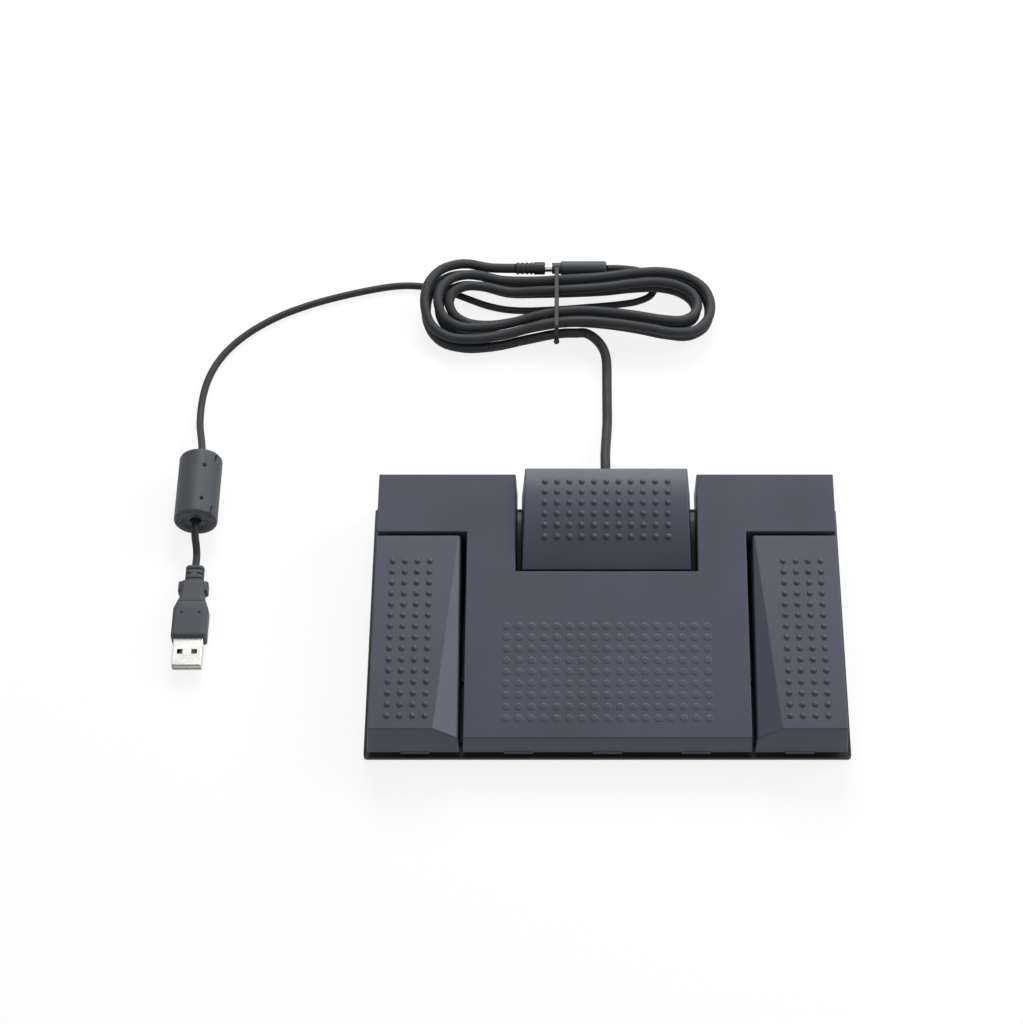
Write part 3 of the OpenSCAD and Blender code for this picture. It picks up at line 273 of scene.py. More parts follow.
def smooth_route(points, steps):
    """A cubic through the points: each stretch is a Hermite curve whose end slopes are the weighted mean of
    the slopes of the two stretches that meet there."""
    p = np.asarray(points, float)
    d = np.linalg.norm(np.diff(p, axis=0), axis=1)[:, None]
    v = np.diff(p, axis=0) / d
    m = np.vstack([v[:1], (d[1:] * v[:-1] + d[:-1] * v[1:]) / (d[:-1] + d[1:]), v[-1:]])
    t = (np.arange(steps) / steps)[None, :, None]
    a, b, ma, mb, k = p[:-1, None], p[1:, None], m[:-1, None], m[1:, None], d[:, None]
    h = (2 * t**3 - 3 * t**2 + 1) * a + (t**3 - 2 * t**2 + t) * k * ma
    h = h + (3 * t**2 - 2 * t**3) * b + (t**3 - t**2) * k * mb
    return np.vstack([h.reshape(-1, 3), p[-1:]])


def laid_route(points, diameter, steps):
    """The cubic through a cord's points, held at half a diameter or more above the floor."""
    route = smooth_route(points, steps)
    route[:, 2] = np.maximum(route[:, 2], diameter / 2)
    return route


def tube(route, radius, sides):
    """A round section carried along a route, level with the floor: point + radius (cos f S - sin f U), where
    S is level and U stands on S and the route's direction."""
    along = unit(np.gradient(route, axis=0))
    side = unit(np.cross(along, (0.0, 0.0, 1.0)))
    up = np.cross(side, along)
    f = full_turn(sides)[None, :, None]
    return capped(route[:, None] + radius * (np.cos(f) * side[:, None] - np.sin(f) * up[:, None]))


def spring(low, high):
    """A helix that fills a box: (r cos a, r sin a, z) with z rising evenly over SPRING_TURNS turns."""
    a = np.linspace(0, 2 * np.pi * SPRING_TURNS, 20 * SPRING_TURNS + 1)
    r = (high[0] - low[0] - SPRING_WIRE) / 2
    z = np.linspace(low[2] + SPRING_WIRE / 2, high[2] - SPRING_WIRE / 2, len(a))
    x, y = ((low + high) / 2)[:2]
    return tube(np.stack([x + r * np.cos(a), y + r * np.sin(a), z], -1), SPRING_WIRE / 2, 8)


def turned(profile, at, axis, sides=32):
    """A profile of (distance along, radius) turned about a line through a point: X for 0, Y for 1."""
    s, r = np.asarray(profile, float).T
    f = full_turn(sides)
    along = np.broadcast_to(s[:, None], (len(s), sides))
    across, up = r[:, None] * np.cos(f), r[:, None] * np.sin(f)
    order = (along, across, up) if axis == 0 else (across, along, -up)
    return sheet(np.asarray(at) + np.stack(order, -1), ring=True)


def box_section(half_w, half_h, radius, sides):
    """A round-cornered rectangle, anticlockwise: corner centres plus a radius turned through each quarter."""
    f = np.arange(4)[:, None] * np.pi / 2 + quarter_turn(sides // 4)
    sx, sy = np.array([1, -1, -1, 1])[:, None], np.array([1, 1, -1, -1])[:, None]
    x = sx * (half_w - radius) + radius * np.cos(f)
    y = sy * (half_h - radius) + radius * np.sin(f)
    return np.stack([x, y], -1).reshape(-1, 2)


def tab(x):
    """A tab under a pedal's front wall: a box whose front leans out by TAB_LEAN towards its foot."""
    foot, top, rim = FOOT_FRONT - TAB_H, FOOT_FRONT + TAB_ROOT, 0.06
    z = np.array([foot, foot + rim, top - rim, top])
    front = Y_FRONT + 0.02 - TAB_LEAN * (top - z) / (top - foot)
    back = np.full(4, Y_FRONT + WALL)
    left, right = np.full(4, x - TAB_W / 2), np.full(4, x + TAB_W / 2)
    corners = [(left, front, z), (right, front, z), (right, back, z), (left, back, z)]
    return capped(np.stack([np.stack(corner, -1) for corner in corners], 1))


def post(x, y, z0, z1, diameter, sides=24):
    """A round post: a circle carried from z0 to z1."""
    f = full_turn(sides)
    ring = np.stack([x + diameter / 2 * np.cos(f), y + diameter / 2 * np.sin(f)], -1)
    return capped(np.stack([np.c_[ring, np.full(sides, z)] for z in (z0, z1)]))


def seat(x, y, low, roof):
    """A spring's seat: a wide post down to low, and a spigot that goes on into the coil."""
    return [post(x, y, low, roof + 1.2, SEAT_D), post(x, y, low - SPIGOT_L, roof, SPIGOT_D)]


def presser(plunger, x, y, roof):
    """A post that ends PRESSER_GAP above a switch's plunger."""
    return post(x, y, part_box(plunger)[1].z / MM + PRESSER_GAP, roof + 1, PRESSER_D)


def ear(x, y, z_top, sides=32):
    """A hinge ear: a U about the pin's axis, its outer loop cut by rays to a half circle below and a box
    above, and an inner loop for the bore; the four loops close on each other."""
    a = full_turn(sides)
    c, s = np.cos(a), np.sin(a)
    half = EAR_W / 2
    tall = np.minimum(half / np.maximum(np.abs(c), 1e-6), (z_top - Z_PIN) / np.maximum(s, 1e-6))
    reach = np.where(s < 0, half, tall)
    rows = [(x, reach), (x + EAR_T, reach), (x + EAR_T, PIN_BORE / 2), (x, PIN_BORE / 2)]
    points = [np.stack([np.full(sides, px), y + r * c, Z_PIN + r * s], -1) for px, r in rows]
    return sheet(np.stack(points), ring=True, loop=True)


def cap_profile(diameter, height, rings=5):
    """A stud's (radius, height): a cap of a sphere of radius (d^2 / 4 + h^2) / 2h, with a small flare at its
    root."""
    r = (diameter**2 / 4 + height**2) / (2 * height)
    q = np.linspace(1, 0, rings) * np.arcsin(diameter / 2 / r)
    return np.r_[diameter / 2 + 0.15, r * np.sin(q)], np.r_[-0.06, height - r + r * np.cos(q) + 0.02]


def disc_profile(diameter, height):
    """A low stud's (radius, height): a steep rim, a rounded shoulder and a nearly flat top."""
    r = diameter / 2
    radii = np.array([r + 0.1, r, r - 0.1, r - 0.35, r / 2, 0])
    return radii, height * np.array([-0.15, 0.1, 0.6, 0.88, 0.98, 1])


def studs(at, normals, profile, sides=14):
    """One stud for each centre: the profile turned about the normal, closed by a face under its root."""
    normals = np.broadcast_to(normals, at.shape)[:, None, None]
    ex = np.array([1.0, 0.0, 0.0])
    ey = np.cross(normals, ex)
    rho, z = (np.r_[v[0] - sunk, v][:, None] for v, sunk in zip(profile, (0, 0.01)))
    f = full_turn(sides)
    x, y, z = (v[..., None] for v in (rho * np.cos(f), rho * np.sin(f), z + 0 * f))
    points = at[:, None, None] + (x * ex + y * ey + z * normals)
    start = len(rho) * sides * np.arange(len(at))[:, None]
    faces = grid_faces(len(rho), sides, ring=True) + start[:, None]
    return points.reshape(-1, 3), [faces.reshape(-1, 4), start + np.arange(sides)]


def mirrored(shape):
    """The shape with x turned over, its faces turned round with it."""
    points, faces = shape
    return points * (-1, 1, 1), [f[:, ::-1] for f in faces]


# Mouldings on the cords


def inline_plug():
    """The inline plug, turned about X: ribs r = 2.3 + 0.35 clip(1.6 cos(pi (x - 1)) + 0.3), then a grip."""
    x = np.linspace(0.0, 8.0, 65)
    ribs = 2.3 + 0.35 * np.clip(1.6 * np.cos(np.pi * (x - 1.0)) + 0.3, 0, 1)
    grip = [(8.0, 2.45), (8.1, 2.65), (8.35, 2.8), (12.6, 2.8), (12.9, 2.65), (13.0, 2.4), (13.0, 0)]
    return turned(np.vstack([[(0, 0)], np.c_[x, ribs], grip]), INLINE_AT, 0)


def inline_socket():
    """The inline socket, turned about X: a neck, a wider sleeve, and a bore for the pin."""
    neck = [(0, 1.77), (0, 2.3), (0.25, 2.5), (3.6, 2.5)]
    sleeve = [(4.0, 2.7), (4.15, 3.0), (4.6, 3.2), (23.0, 3.2), (23.6, 3.0), (24.0, 2.4), (24.0, 0)]
    bore = [(9.0, 0), (9.0, 1.77), (0, 1.77)]
    return turned(neck + sleeve + bore, INLINE_AT + (16.0, 0, 0), 0)


def boot():
    """The lead's boot, turned about Y: a flanged root inside the case, then a taper of 1.1 mm with a groove
    0.4 mm deep every 2.55 mm, where the cosine is below -0.6."""
    y = np.linspace(52.75, 70.6, 120)
    along = y - y[0]
    ribs = 4.0 - 1.1 * along / along[-1] - 0.4 * (np.cos(2 * np.pi * along / 2.55) < -0.6)
    root = [(42.35, 0), (42.35, 4.0), (44.45, 4.0), (44.45, 5.2), (46.65, 5.2), (46.65, 4.0)]
    return turned(np.vstack([root, np.c_[y, ribs], [(71.0, 2.5), (71.0, 0)]]), (0, 0, BOOT_END[2]), 1)


def band(low, high, thick=0.6):
    """The tie's band: a flat section carried round a round-cornered loop in YZ that fills a box."""
    half, middle = (high - low) / 2, (low + high) / 2
    loop = box_section(half[1] - thick / 2, half[2] - thick / 2, 2.2, 32)
    step = unit(np.roll(loop, -1, 0) - np.roll(loop, 1, 0))
    out = np.c_[step[:, 1], -step[:, 0]]
    section = box_section(half[0], thick / 2, thick * 0.4, 12)
    yz = (loop + middle[1:])[:, None] + section[None, :, 1:] * out[:, None]
    across = np.broadcast_to(middle[0] + section[:, 0], yz.shape[:2])
    return sheet(np.dstack([across, yz]), ring=True, loop=True)


def bead(low, high):
    """The tie's twisted end: a small bead turned about Y in front of the band."""
    profile = [(0, 0), (0.15, 0.8), (0.7, 1.25), (1.5, 1.25), (2.1, 0.9), (2.3, 0)]
    return turned(profile, ((low[0] + high[0]) / 2, low[1] - 1.9, low[2] + 3.4), 1, 16)


def resampled(loop, count):
    """A closed outline as evenly spaced points, beginning at its first one."""
    closed = np.vstack([loop, loop[:1]])
    s = np.r_[0, np.cumsum(np.linalg.norm(np.diff(closed, axis=0), axis=1))]
    t = np.linspace(0, s[-1], count, endpoint=False)
    return np.c_[np.interp(t, s, closed[:, 0]), np.interp(t, s, closed[:, 1])]


def lofted(stations, count):
    """Round-cornered sections (y, half width, half height, radius) along Y, as (stations, count, 3)."""
    rings = [resampled(box_section(w, h, r, 24), count) for _, w, h, r in stations]
    y = np.array([station[0] for station in stations])[:, None] + np.zeros(count)
    x, z = np.moveaxis(np.array(rings), -1, 0)
    return np.stack([x, y, z], -1)


def plug_moulding(front, back):
    """The plug's body along Y: a block that flares from a waist, and a relief with slots; plus its shoulders.

    Two small holes sink the top by 0.7 mm, and each slot draws its sections in by a quarter.
    """
    width, height, waist, relief = 7.15, 4.0, 5.0, (3.8, 2.9, 2.2)
    flare0, flare1, line, neck = front + np.array([13.6, 19.4, 16.6, 27.0])
    y = np.r_[np.linspace(front + 0.5, front + 9.8, 12), np.arange(front + 10.0, front + 12.0, 0.2), flare0]
    body = [(front, 6.55, 3.4, 0.9), (front + 0.15, 6.85, 3.7, 1.2), *((v, width, height, 1.5) for v in y)]
    for v, cut in ((line, 0), (line + 0.06, 0.15), (line + 0.3, 0.15), (line + 0.36, 0), (flare1, 0)):
        k = (v - flare0) / (flare1 - flare0)
        body.append((v, width + k * (waist - width) - cut, height - 0.4 * k - cut, 1.4))
    body += [(flare1 + 0.8, waist - 0.1, 3.5, 1.4), (neck - 0.2, waist - 0.1, 3.4, 1.4)]
    body += [(neck, waist - 0.4, 3.2, 1.4), *((v, *relief) for v in np.arange(neck + 0.05, back - 0.3, 0.15))]
    body += [(back - 0.15, 3.65, 2.75, 2.2), (back, 3.2, 2.3, 2.0), (back, 1.7, 1.7, 1.6)]
    points = lofted(body, 160)
    x, y, z = np.moveaxis(points, -1, 0)
    # The middle slot stops short of the relief's centre line
    slots, whole = neck + np.array([1.3, 3.6, 5.9])[:, None, None], np.array([1, 0, 1])[:, None, None]
    drawn = (np.where(np.abs(x) > 1.2, 1, whole) * (np.abs(y - slots) < 0.35)).max(0)
    points[..., ::2] *= 1 - 0.25 * drawn[..., None]
    holes = np.hypot(np.abs(x) - 3.6, y - front - 10.9)
    points[..., 2] -= np.where(z > height - 0.05, 0.7 * fade(holes, 0.75), 0)
    rim, face = (5.6, 2.4, 0.8), (6.1, 2.9, 1.1)
    shoulders = [(neck - 4.8, *rim), (neck - 4.4, *face), (neck - 0.4, *face), (neck, *rim)]
    at = np.array([PLUG_X, 0, PLUG_Z])
    return [capped(points + at), capped(lofted(shoulders, 48) + at)]


def case_profile(spacing):
    """The ferrite case's closed section as (along, radius): the outside, a round and a recess at each end,
    and the hollow for the core."""
    half, radius, turn = FERRITE_L / 2, FERRITE_D / 2, 1.3
    q = quarter_turn(6)
    along = np.arange(spacing / 2, half - turn, spacing)
    side = np.vstack([
        np.c_[along, np.full(len(along), radius)],
        np.c_[half - turn + turn * np.sin(q), radius - turn + turn * np.cos(q)],
        [(half, 6.1), (15.6, 5.5), (14.9, 5.2), (14.8, 4.6), (14.8, 2.3), (14.0, 2.3), (14.0, 7.0)],
    ])
    return np.vstack([side[::-1] * (-1, 1), side])


def case_half(angles, spacing, side, marked):
    """Half of the ferrite's case: its section turned through the angles, above if side is 1 and below if -1.

    On a marked half, two dimples sink the outside by 1.2 fade(distance), and latch slits, which are lines
    between two corners on the unrolled outside, sink it by their depth with steep walls.
    """
    along, r = case_profile(spacing).T
    f = np.radians(angles)[:, None]
    s, r = (np.broadcast_to(v, (len(angles), len(along))) for v in (along, r))
    if marked:
        depth, arc = 1.6, FERRITE_D / 2 * (np.pi / 2 - f) + 0 * s
        dimples = [np.hypot(s - at, arc - 3.06) for at in (7.4, -9.2)]
        lines = (11.2, 13.6, 8.2, 8.2), (-16.2, -12.0, 8.2, 8.2), (-16.2, -15.6, 6.6, 8.2)
        slits = [np.hypot(s - np.clip(s, s0, s1), arc - np.clip(arc, a0, a1)) for s0, s1, a0, a1 in lines]
        sunk = depth * np.clip((0.6 - np.min(slits, 0)) / 0.2, 0, 1)
        sunk = np.maximum(1.2 * fade(np.min(dimples, 0), 1.1), sunk)
        r = r - np.where(r > FERRITE_D / 2 - depth, sunk, 0)
    points = np.stack([r * np.cos(f), s, side * r * np.sin(f)], -1)
    return capped(points + FERRITE_C)


# Pedal shells: each point is where three planes meet


def side_planes(corners, drafts, foot):
    """Planes (normal, distance) through the edges of a plan outline at height foot, leaning in by drafts."""
    a = np.asarray(corners, float)
    e = unit(np.roll(a, -1, 0) - a)
    d = np.radians(drafts)[:, None]
    n = np.hstack([np.c_[e[:, 1], -e[:, 0]] * np.cos(d), np.sin(d)])
    return np.c_[n, (n[:, :2] * a).sum(1) + n[:, 2] * foot]


def corner_planes(a, b, radius, steps):
    """Planes that turn from a to b, touching a round of the given radius inside a convex corner or outside a
    hollow one: n = unit((1 - t) a + t b), at distance n . core + radius."""
    s = np.sign(a[0] * b[1] - a[1] * b[0]) * radius
    core = np.linalg.solve([a[:3], b[:3], (0, 0, 1)], [a[3] - s, b[3] - s, 0])
    t = np.linspace(0, 1, steps + 1)[:, None]
    n = unit((1 - t) * a[:3] + t * b[:3])
    return np.c_[n, n @ core + s]


def plane(normal, point):
    """The plane across a normal through a point."""
    n = unit(np.asarray(normal, float))
    return np.r_[n, n @ np.asarray(point, float)]


def upright(axis, at):
    """The upright plane where x, for axis 0, or y, for axis 1, has a value."""
    return np.r_[np.eye(3)[axis], at]


def meet(a, b, c):
    """The points where the planes of three arrays meet, row by row."""
    m = np.stack([a, b, c], 1)
    return np.linalg.solve(m[:, :, :3], m[:, :, 3:])[..., 0]


def planed_shell(sides, stops, caps, corner_r, edge_r, steps=4):
    """A hollow shell over a plan outline, with rounded upper edges.

    A stop is (side before, plane it meets, which inset that plane takes, top plane, height of the foot),
    and a corner stop turns from one side to the next. Ring after ring the sides move in by r (1 - cos q)
    and the top sinks by r (1 - sin q). The inner wall repeats the planes moved in by WALL. Caps are runs
    of columns, as stop numbers.
    """
    columns, first = [], [0]
    for side, other, kind, top, foot in stops:
        a = sides[side]
        if kind == "corner":
            turn = corner_planes(a, sides[other], corner_r, steps)
            rows = [(p, q, 1, 0, a, sides[other]) for p, q in zip(turn[:-1], turn[1:])]
        else:
            rows = [(a, other, 0, kind == "crease", a, other)]
        columns += [(*row, top, foot, kind) for row in rows]
        first.append(len(columns))
    *planes, kinds = zip(*columns)
    a, b, by_side, by_top, in_a, in_b, top, foot = (np.array(values, float) for values in planes)
    # Under a crease the wall's columns go down at one x
    creased = np.array(kinds)[:, None] == "crease"
    wall_b, inner_b = (np.where(creased, (1.0, 0, 0, 0), planes_b) for planes_b in (b, in_b))

    def ring(pa, pb, d, h):
        """Where the sides moved in by d and the top sunk by h meet."""
        moved_a, moved_b, moved_top = pa.copy(), pb.copy(), top.copy()
        moved_a[:, 3] -= d
        moved_b[:, 3] -= d * by_side + h * by_top
        moved_top[:, 3] -= h
        return meet(moved_a, moved_b, moved_top)

    def lowered(points, pa, pb):
        """The points slid to the foot along the line of two planes."""
        line = np.cross(pa[:, :3], pb[:, :3])
        return points + line / line[:, 2:] * (foot - points[:, 2])[:, None]

    rings = [ring(a, b, edge_r * (1 - np.cos(q)), edge_r * (1 - np.sin(q))) for q in quarter_turn(steps)]
    roof = ring(in_a, in_b, WALL, WALL)
    rows = [lowered(roof, in_a, inner_b), lowered(rings[0], a, wall_b), *rings]
    points, faces = sheet(np.stack(rows), ring=True)
    count = len(foot)
    top_row, roof_row = (len(rows) - 1) * count, len(rows) * count
    c = np.arange(count)
    walls = np.stack([c, roof_row + c, roof_row + np.roll(c, -1), np.roll(c, -1)], -1)
    spans = [np.concatenate([np.arange(first[i], first[j]) for i, j in runs])[None] for runs in caps]
    faces += [walls] + [top_row + s for s in spans] + [roof_row + s[:, ::-1] for s in spans]
    return np.vstack([points, roof]), faces


def side_pedal_shell(corner_r, edge_r):
    """The right pedal: four leaning sides, a sloped top, and a slanted facet along the inner edge, with a
    narrow chamfer between the two."""
    front_in, back_in = INNER_FEET
    plan = [(front_in, Y_FRONT), (SIDE_FOOT, Y_FRONT), (SIDE_FOOT, Y_SIDE_BACK), (back_in, Y_SIDE_BACK)]
    sides = side_planes(plan, [FRONT_DRAFT, OUTER_DRAFT, 0, INNER_DRAFT], FOOT_FRONT)
    top = plane((0, -tan(SIDE_SLOPE), 1), (0, Y_SIDE_EDGE, side_top(Y_SIDE_EDGE)))
    x_back = back_in + (side_top(Y_SIDE_BACK) - FOOT_FRONT) * tan(INNER_DRAFT)
    back = np.array([x_back + corner_r + 0.15, Y_SIDE_BACK, side_top(Y_SIDE_BACK)])
    front = np.array([X_IN + CREASE_IN, Y_SIDE_EDGE, side_top(Y_SIDE_EDGE)])
    drop = SIDE_HEIGHT - CREASE_DROP
    low = np.array([front_in + drop * tan(INNER_DRAFT), Y_FRONT + drop * tan(FRONT_DRAFT), FOOT_FRONT + drop])
    facet = plane(np.cross(low - back, front - back), back)
    facet = facet * np.sign(facet[2])
    edge = plane(top[:3] + facet[:3], (back + front) / 2)
    edge[3] -= 0.05
    stops = [
        (0, edge, "crease", top, FOOT_FRONT),
        (0, 1, "corner", top, FOOT_FRONT),
        (1, 2, "corner", top, FOOT_FRONT),
        (2, upright(0, X_OUT - 2.2), "cut", top, FOOT_FRONT),
        (2, upright(0, X_OUT - 2.8), "cut", top, FOOT_BACK),
        (2, edge, "crease", top, FOOT_BACK),
        (2, edge, "crease", facet, FOOT_BACK),
        (2, 3, "corner", facet, FOOT_BACK),
        (3, upright(1, Y_SIDE_BACK - 2.4), "cut", facet, FOOT_BACK),
        (3, upright(1, Y_SIDE_BACK - 3.0), "cut", facet, FOOT_LANE),
        (3, upright(1, Y_FRONT + 5.0), "cut", facet, FOOT_LANE),
        (3, upright(1, Y_FRONT + 4.4), "cut", facet, FOOT_FRONT),
        (3, 0, "corner", facet, FOOT_FRONT),
        (0, edge, "crease", facet, FOOT_FRONT),
    ]
    caps = [[(0, 6)], [(6, 14)], [(13, 14), (0, 1), (5, 6), (6, 7)]]
    return planed_shell(sides, stops, caps, corner_r, edge_r)


def centre_pedal_shell(corner_r, edge_r):
    """The T-shaped plate: twelve sides under one sloped top, some of them leaning, with feet that end higher
    along the side pedals and at the back."""
    half = [
        (STEM_FEET[0], Y_FRONT), (STEM_FEET[1], Y_ARM), (ARM_FOOT, Y_ARM),
        (ARM_FOOT, BACK_FOOT), (NOTCH_FOOT, BACK_FOOT), (NOTCH_FOOT, Y_NOTCH),
    ]
    one_side = [STEM_DRAFT, 0, SIDE_DRAFT, 0, NOTCH_DRAFT]
    drafts = one_side + [0] + one_side[::-1] + [FRONT_DRAFT]
    sides = side_planes(half + [(-x, y) for x, y in half[::-1]], drafts, FOOT_FRONT)
    top = plane((0, -tan(CENTRE_SLOPE), 1), (0, Y_CENTRE_EDGE, centre_top(Y_CENTRE_EDGE)))
    stem = [
        (0, 1, Y_FRONT + 4.4, FOOT_FRONT), (0, 1, Y_FRONT + 5.0, FOOT_LANE),
        (0, 1, Y_NOTCH - 2.2, FOOT_LANE), (0, 1, Y_NOTCH - 1.6, FOOT_BACK),
    ]
    arm = [(1, 0, X_OUT - 3.8, FOOT_BACK), (1, 0, X_OUT - 3.2, FOOT_FRONT)]
    back = [(3, 0, X_OUT - 3.2, FOOT_FRONT), (3, 0, X_OUT - 3.8, FOOT_BACK)]

    def corners(foot, *numbers):
        """Stops that turn round the numbered corners."""
        return [(i - 1, i, "corner", top, foot) for i in numbers]

    def cuts(rows):
        """Stops where an upright plane cuts a side."""
        return [(side, upright(axis, at), "cut", top, foot) for side, axis, at, foot in rows]

    def opposite(rows):
        """The same cuts on the left half, where the outline runs back."""
        return cuts((10 - side, axis, at * (-1, 1)[axis], foot) for side, axis, at, foot in rows[::-1])

    stops = [
        *corners(FOOT_FRONT, 0), *cuts(stem), *corners(FOOT_BACK, 1), *cuts(arm), *corners(FOOT_FRONT, 2, 3),
        *cuts(back), *corners(FOOT_BACK, 4, 5, 6, 7), *opposite(back), *corners(FOOT_FRONT, 8, 9),
        *opposite(arm), *corners(FOOT_BACK, 10), *opposite(stem), *corners(FOOT_FRONT, 11),
    ]
    return planed_shell(sides, stops, [[(0, len(stops))]], corner_r, edge_r)


def crown_profile(inset, edge_r, foot, steps=5, arc=28):
    """The top pedal's section in YZ: up the front wall, round an edge, over the crown and down the back wall.

    Gives the core line, edge_r inside the surface, and the outward normals; surface = core + edge_r n.
    """
    ends = np.array([Y_TOP_FRONT + inset + edge_r, Y_BACK - inset - edge_r])
    radius = CROWN_R - inset - edge_r
    rise = crown_height(ends, radius)
    a0, a1 = np.arctan2(rise - CROWN_C[1], ends - CROWN_C[0])
    crown = np.linspace(a0, a1, arc)
    front, back = np.linspace(np.pi, a0, steps + 1)[:-1], np.linspace(a1, 0, steps + 1)[1:]
    turn = np.r_[np.pi, front, crown, back, 0.0]
    core = np.vstack([
        [(ends[0], foot)], np.tile([ends[0], rise[0]], (steps, 1)),
        CROWN_C + radius * np.c_[np.cos(crown), np.sin(crown)],
        np.tile([ends[1], rise[1]], (steps, 1)), [(ends[1], foot)],
    ])
    return core, np.c_[np.cos(turn), np.sin(turn)]


def top_pedal_shell(edge_r, steps=4):
    """The top pedal: its section carried along X, the ends rounded by x = W - r + r sin f and the section
    drawn in by r (1 - cos f), with sides that lean in, an arch over the lead, and an inner wall."""
    arch, lift, foot = 7.0, 4.0, FOOT_BACK
    across = np.array([-28.0, -18.0, -arch - 0.05, -arch, arch, arch + 0.05, 18.0, 28.0])
    f = quarter_turn(steps)

    def skin(inset, r):
        """Points of one face of the wall, inset from the outside and rounded by r."""
        core, n = crown_profile(inset, r, foot)
        half = TOP_HALF - inset / np.cos(np.radians(TOP_DRAFT)) - (core[:, 1] - foot) * tan(TOP_DRAFT)
        end = (half - r)[:, None] + r * np.sin(f)
        x = np.hstack([-end[:, ::-1], np.broadcast_to(across, (len(core), len(across))), end])
        draw = np.r_[np.cos(f)[::-1], np.ones(len(across)), np.cos(f)]
        points = np.dstack([x, core[:, None] + r * draw[None, :, None] * n[:, None]])
        points[-1, steps + 1:-steps - 1, 2] += np.where(np.abs(across) <= arch, lift, 0)
        return points

    outer, inner = skin(0, edge_r), skin(WALL, 0.0)
    rows, cols = outer.shape[:2]
    over = grid_faces(rows, cols)[:, ::-1]
    index = np.arange(rows * cols).reshape(rows, cols)
    within = index + rows * cols
    rims = []
    for row, turn in ((0, 1), (-1, -1)):
        o, i = index[row], within[row]
        rims.append(np.stack([o[:-1], i[:-1], i[1:], o[1:]], -1)[:, ::turn])
    for col in (0, -1):
        rims.append(np.array([[index[0, col], index[-1, col], within[-1, col], within[0, col]]]))
    ends = [index[:, 0][None], index[:, -1][None, ::-1], within[:, 0][None, ::-1], within[:, -1][None]]
    faces = [over, over[:, ::-1] + rows * cols, *rims, *ends]
    return np.vstack([outer.reshape(-1, 3), inner.reshape(-1, 3)]), faces


def stud_rows(origin, slope, columns, first, rows):
    """Centres of studs in columns along X, STUD_PITCH apart up a slope from an edge, and its normal."""
    a = np.radians(slope)
    x, s = np.meshgrid(columns, first + STUD_PITCH * np.arange(rows), indexing="ij")
    at = np.stack([x, origin[0] + s * np.cos(a), origin[1] + s * np.sin(a)], -1).reshape(-1, 3)
    return at, np.array([0.0, -np.sin(a), np.cos(a)])


def crown_studs():
    """Centres and normals of the studs on the crown, spaced along its arc from the back edge."""
    back = np.arctan2(*(TOP_EDGES[1] - CROWN_C)[::-1])
    a = back + (CROWN_FIRST + CROWN_PITCH * np.arange(6)) / CROWN_R
    x, a = np.meshgrid((np.arange(11) - 5) * STUD_PITCH, a, indexing="ij")
    n = np.stack([0 * a, np.cos(a), np.sin(a)], -1).reshape(-1, 3)
    at = n * CROWN_R + np.r_[0, CROWN_C]
    at[:, 0] = x.ravel()
    return at, n


# Whole pedals: a shell with its studs, and the tabs, hinge ears and posts under it


def side_pedal(corner_r, edge_r):
    """Shapes of the right pedal: four columns of studs, two ears, a seat, a presser and a stop."""
    columns = X_OUT - SIDE_HEIGHT * tan(SIDE_DRAFT) - 7 - STUD_PITCH * np.arange(4)
    rows = stud_rows((Y_SIDE_EDGE, side_top(Y_SIDE_EDGE)), SIDE_SLOPE, columns, first=5.7, rows=15)
    y_pin = Y_SIDE_BACK - 6.8
    ears = X_IN + WALL + 2.6 + EAR_T + EAR_PLAY, X_OUT - WALL - 7.2 - EAR_T - EAR_PLAY
    y_spring, y_switch, y_stop = Y_SIDE_EDGE + np.array([14.0, 31.0, 50.0])
    stop_foot = 6.76
    return [
        side_pedal_shell(corner_r, edge_r),
        studs(*rows, cap_profile(STUD_D, STUD_H)),
        tab(X_SIDE - 1.1),
        *(ear(x, y_pin, side_roof(y_pin) + 1) for x in ears),
        *seat(X_SIDE, y_spring, side_roof(y_spring) - 1, side_roof(y_spring)),
        presser("right_plunger", X_SIDE, y_switch, side_roof(y_switch)),
        post(X_SIDE, y_stop, stop_foot, side_roof(y_stop) + 1, STOP_D),
    ]


def centre_pedal(corner_r, edge_r):
    """Shapes of the T-shaped pedal: low studs, tabs, a presser, and ears, seats and stops on each side."""
    columns = (np.arange(17) - 8) * STUD_PITCH
    rows = stud_rows((Y_CENTRE_EDGE, centre_top(Y_CENTRE_EDGE)), CENTRE_SLOPE, columns, first=8.2, rows=9)
    y_pin = Y_BACK - 10.3
    ears = X_NOTCH + WALL + 8 + EAR_T + EAR_PLAY, X_OUT - 18 - EAR_T - EAR_PLAY
    y_spring, y_switch = Y_CENTRE_EDGE + np.array([18.0, 14.0])
    roof, stop_foot = centre_roof(y_spring), 7.6
    half = [
        *(ear(x, y_pin, centre_roof(y_pin) + 1) for x in ears),
        *seat(X_STEM * 0.5, y_spring, roof - 1.6, roof),
        post(X_STEM * 0.78, y_spring, stop_foot, roof + 1, STOP_D),
    ]
    return [
        centre_pedal_shell(corner_r, edge_r),
        studs(*rows, disc_profile(LOW_STUD_D, LOW_STUD_H)),
        *(tab(x) for x in (-35, 0, 35)),
        presser("centre_plunger", 0, y_switch, centre_roof(y_switch)),
        *half,
        *(mirrored(shape) for shape in half),
    ]


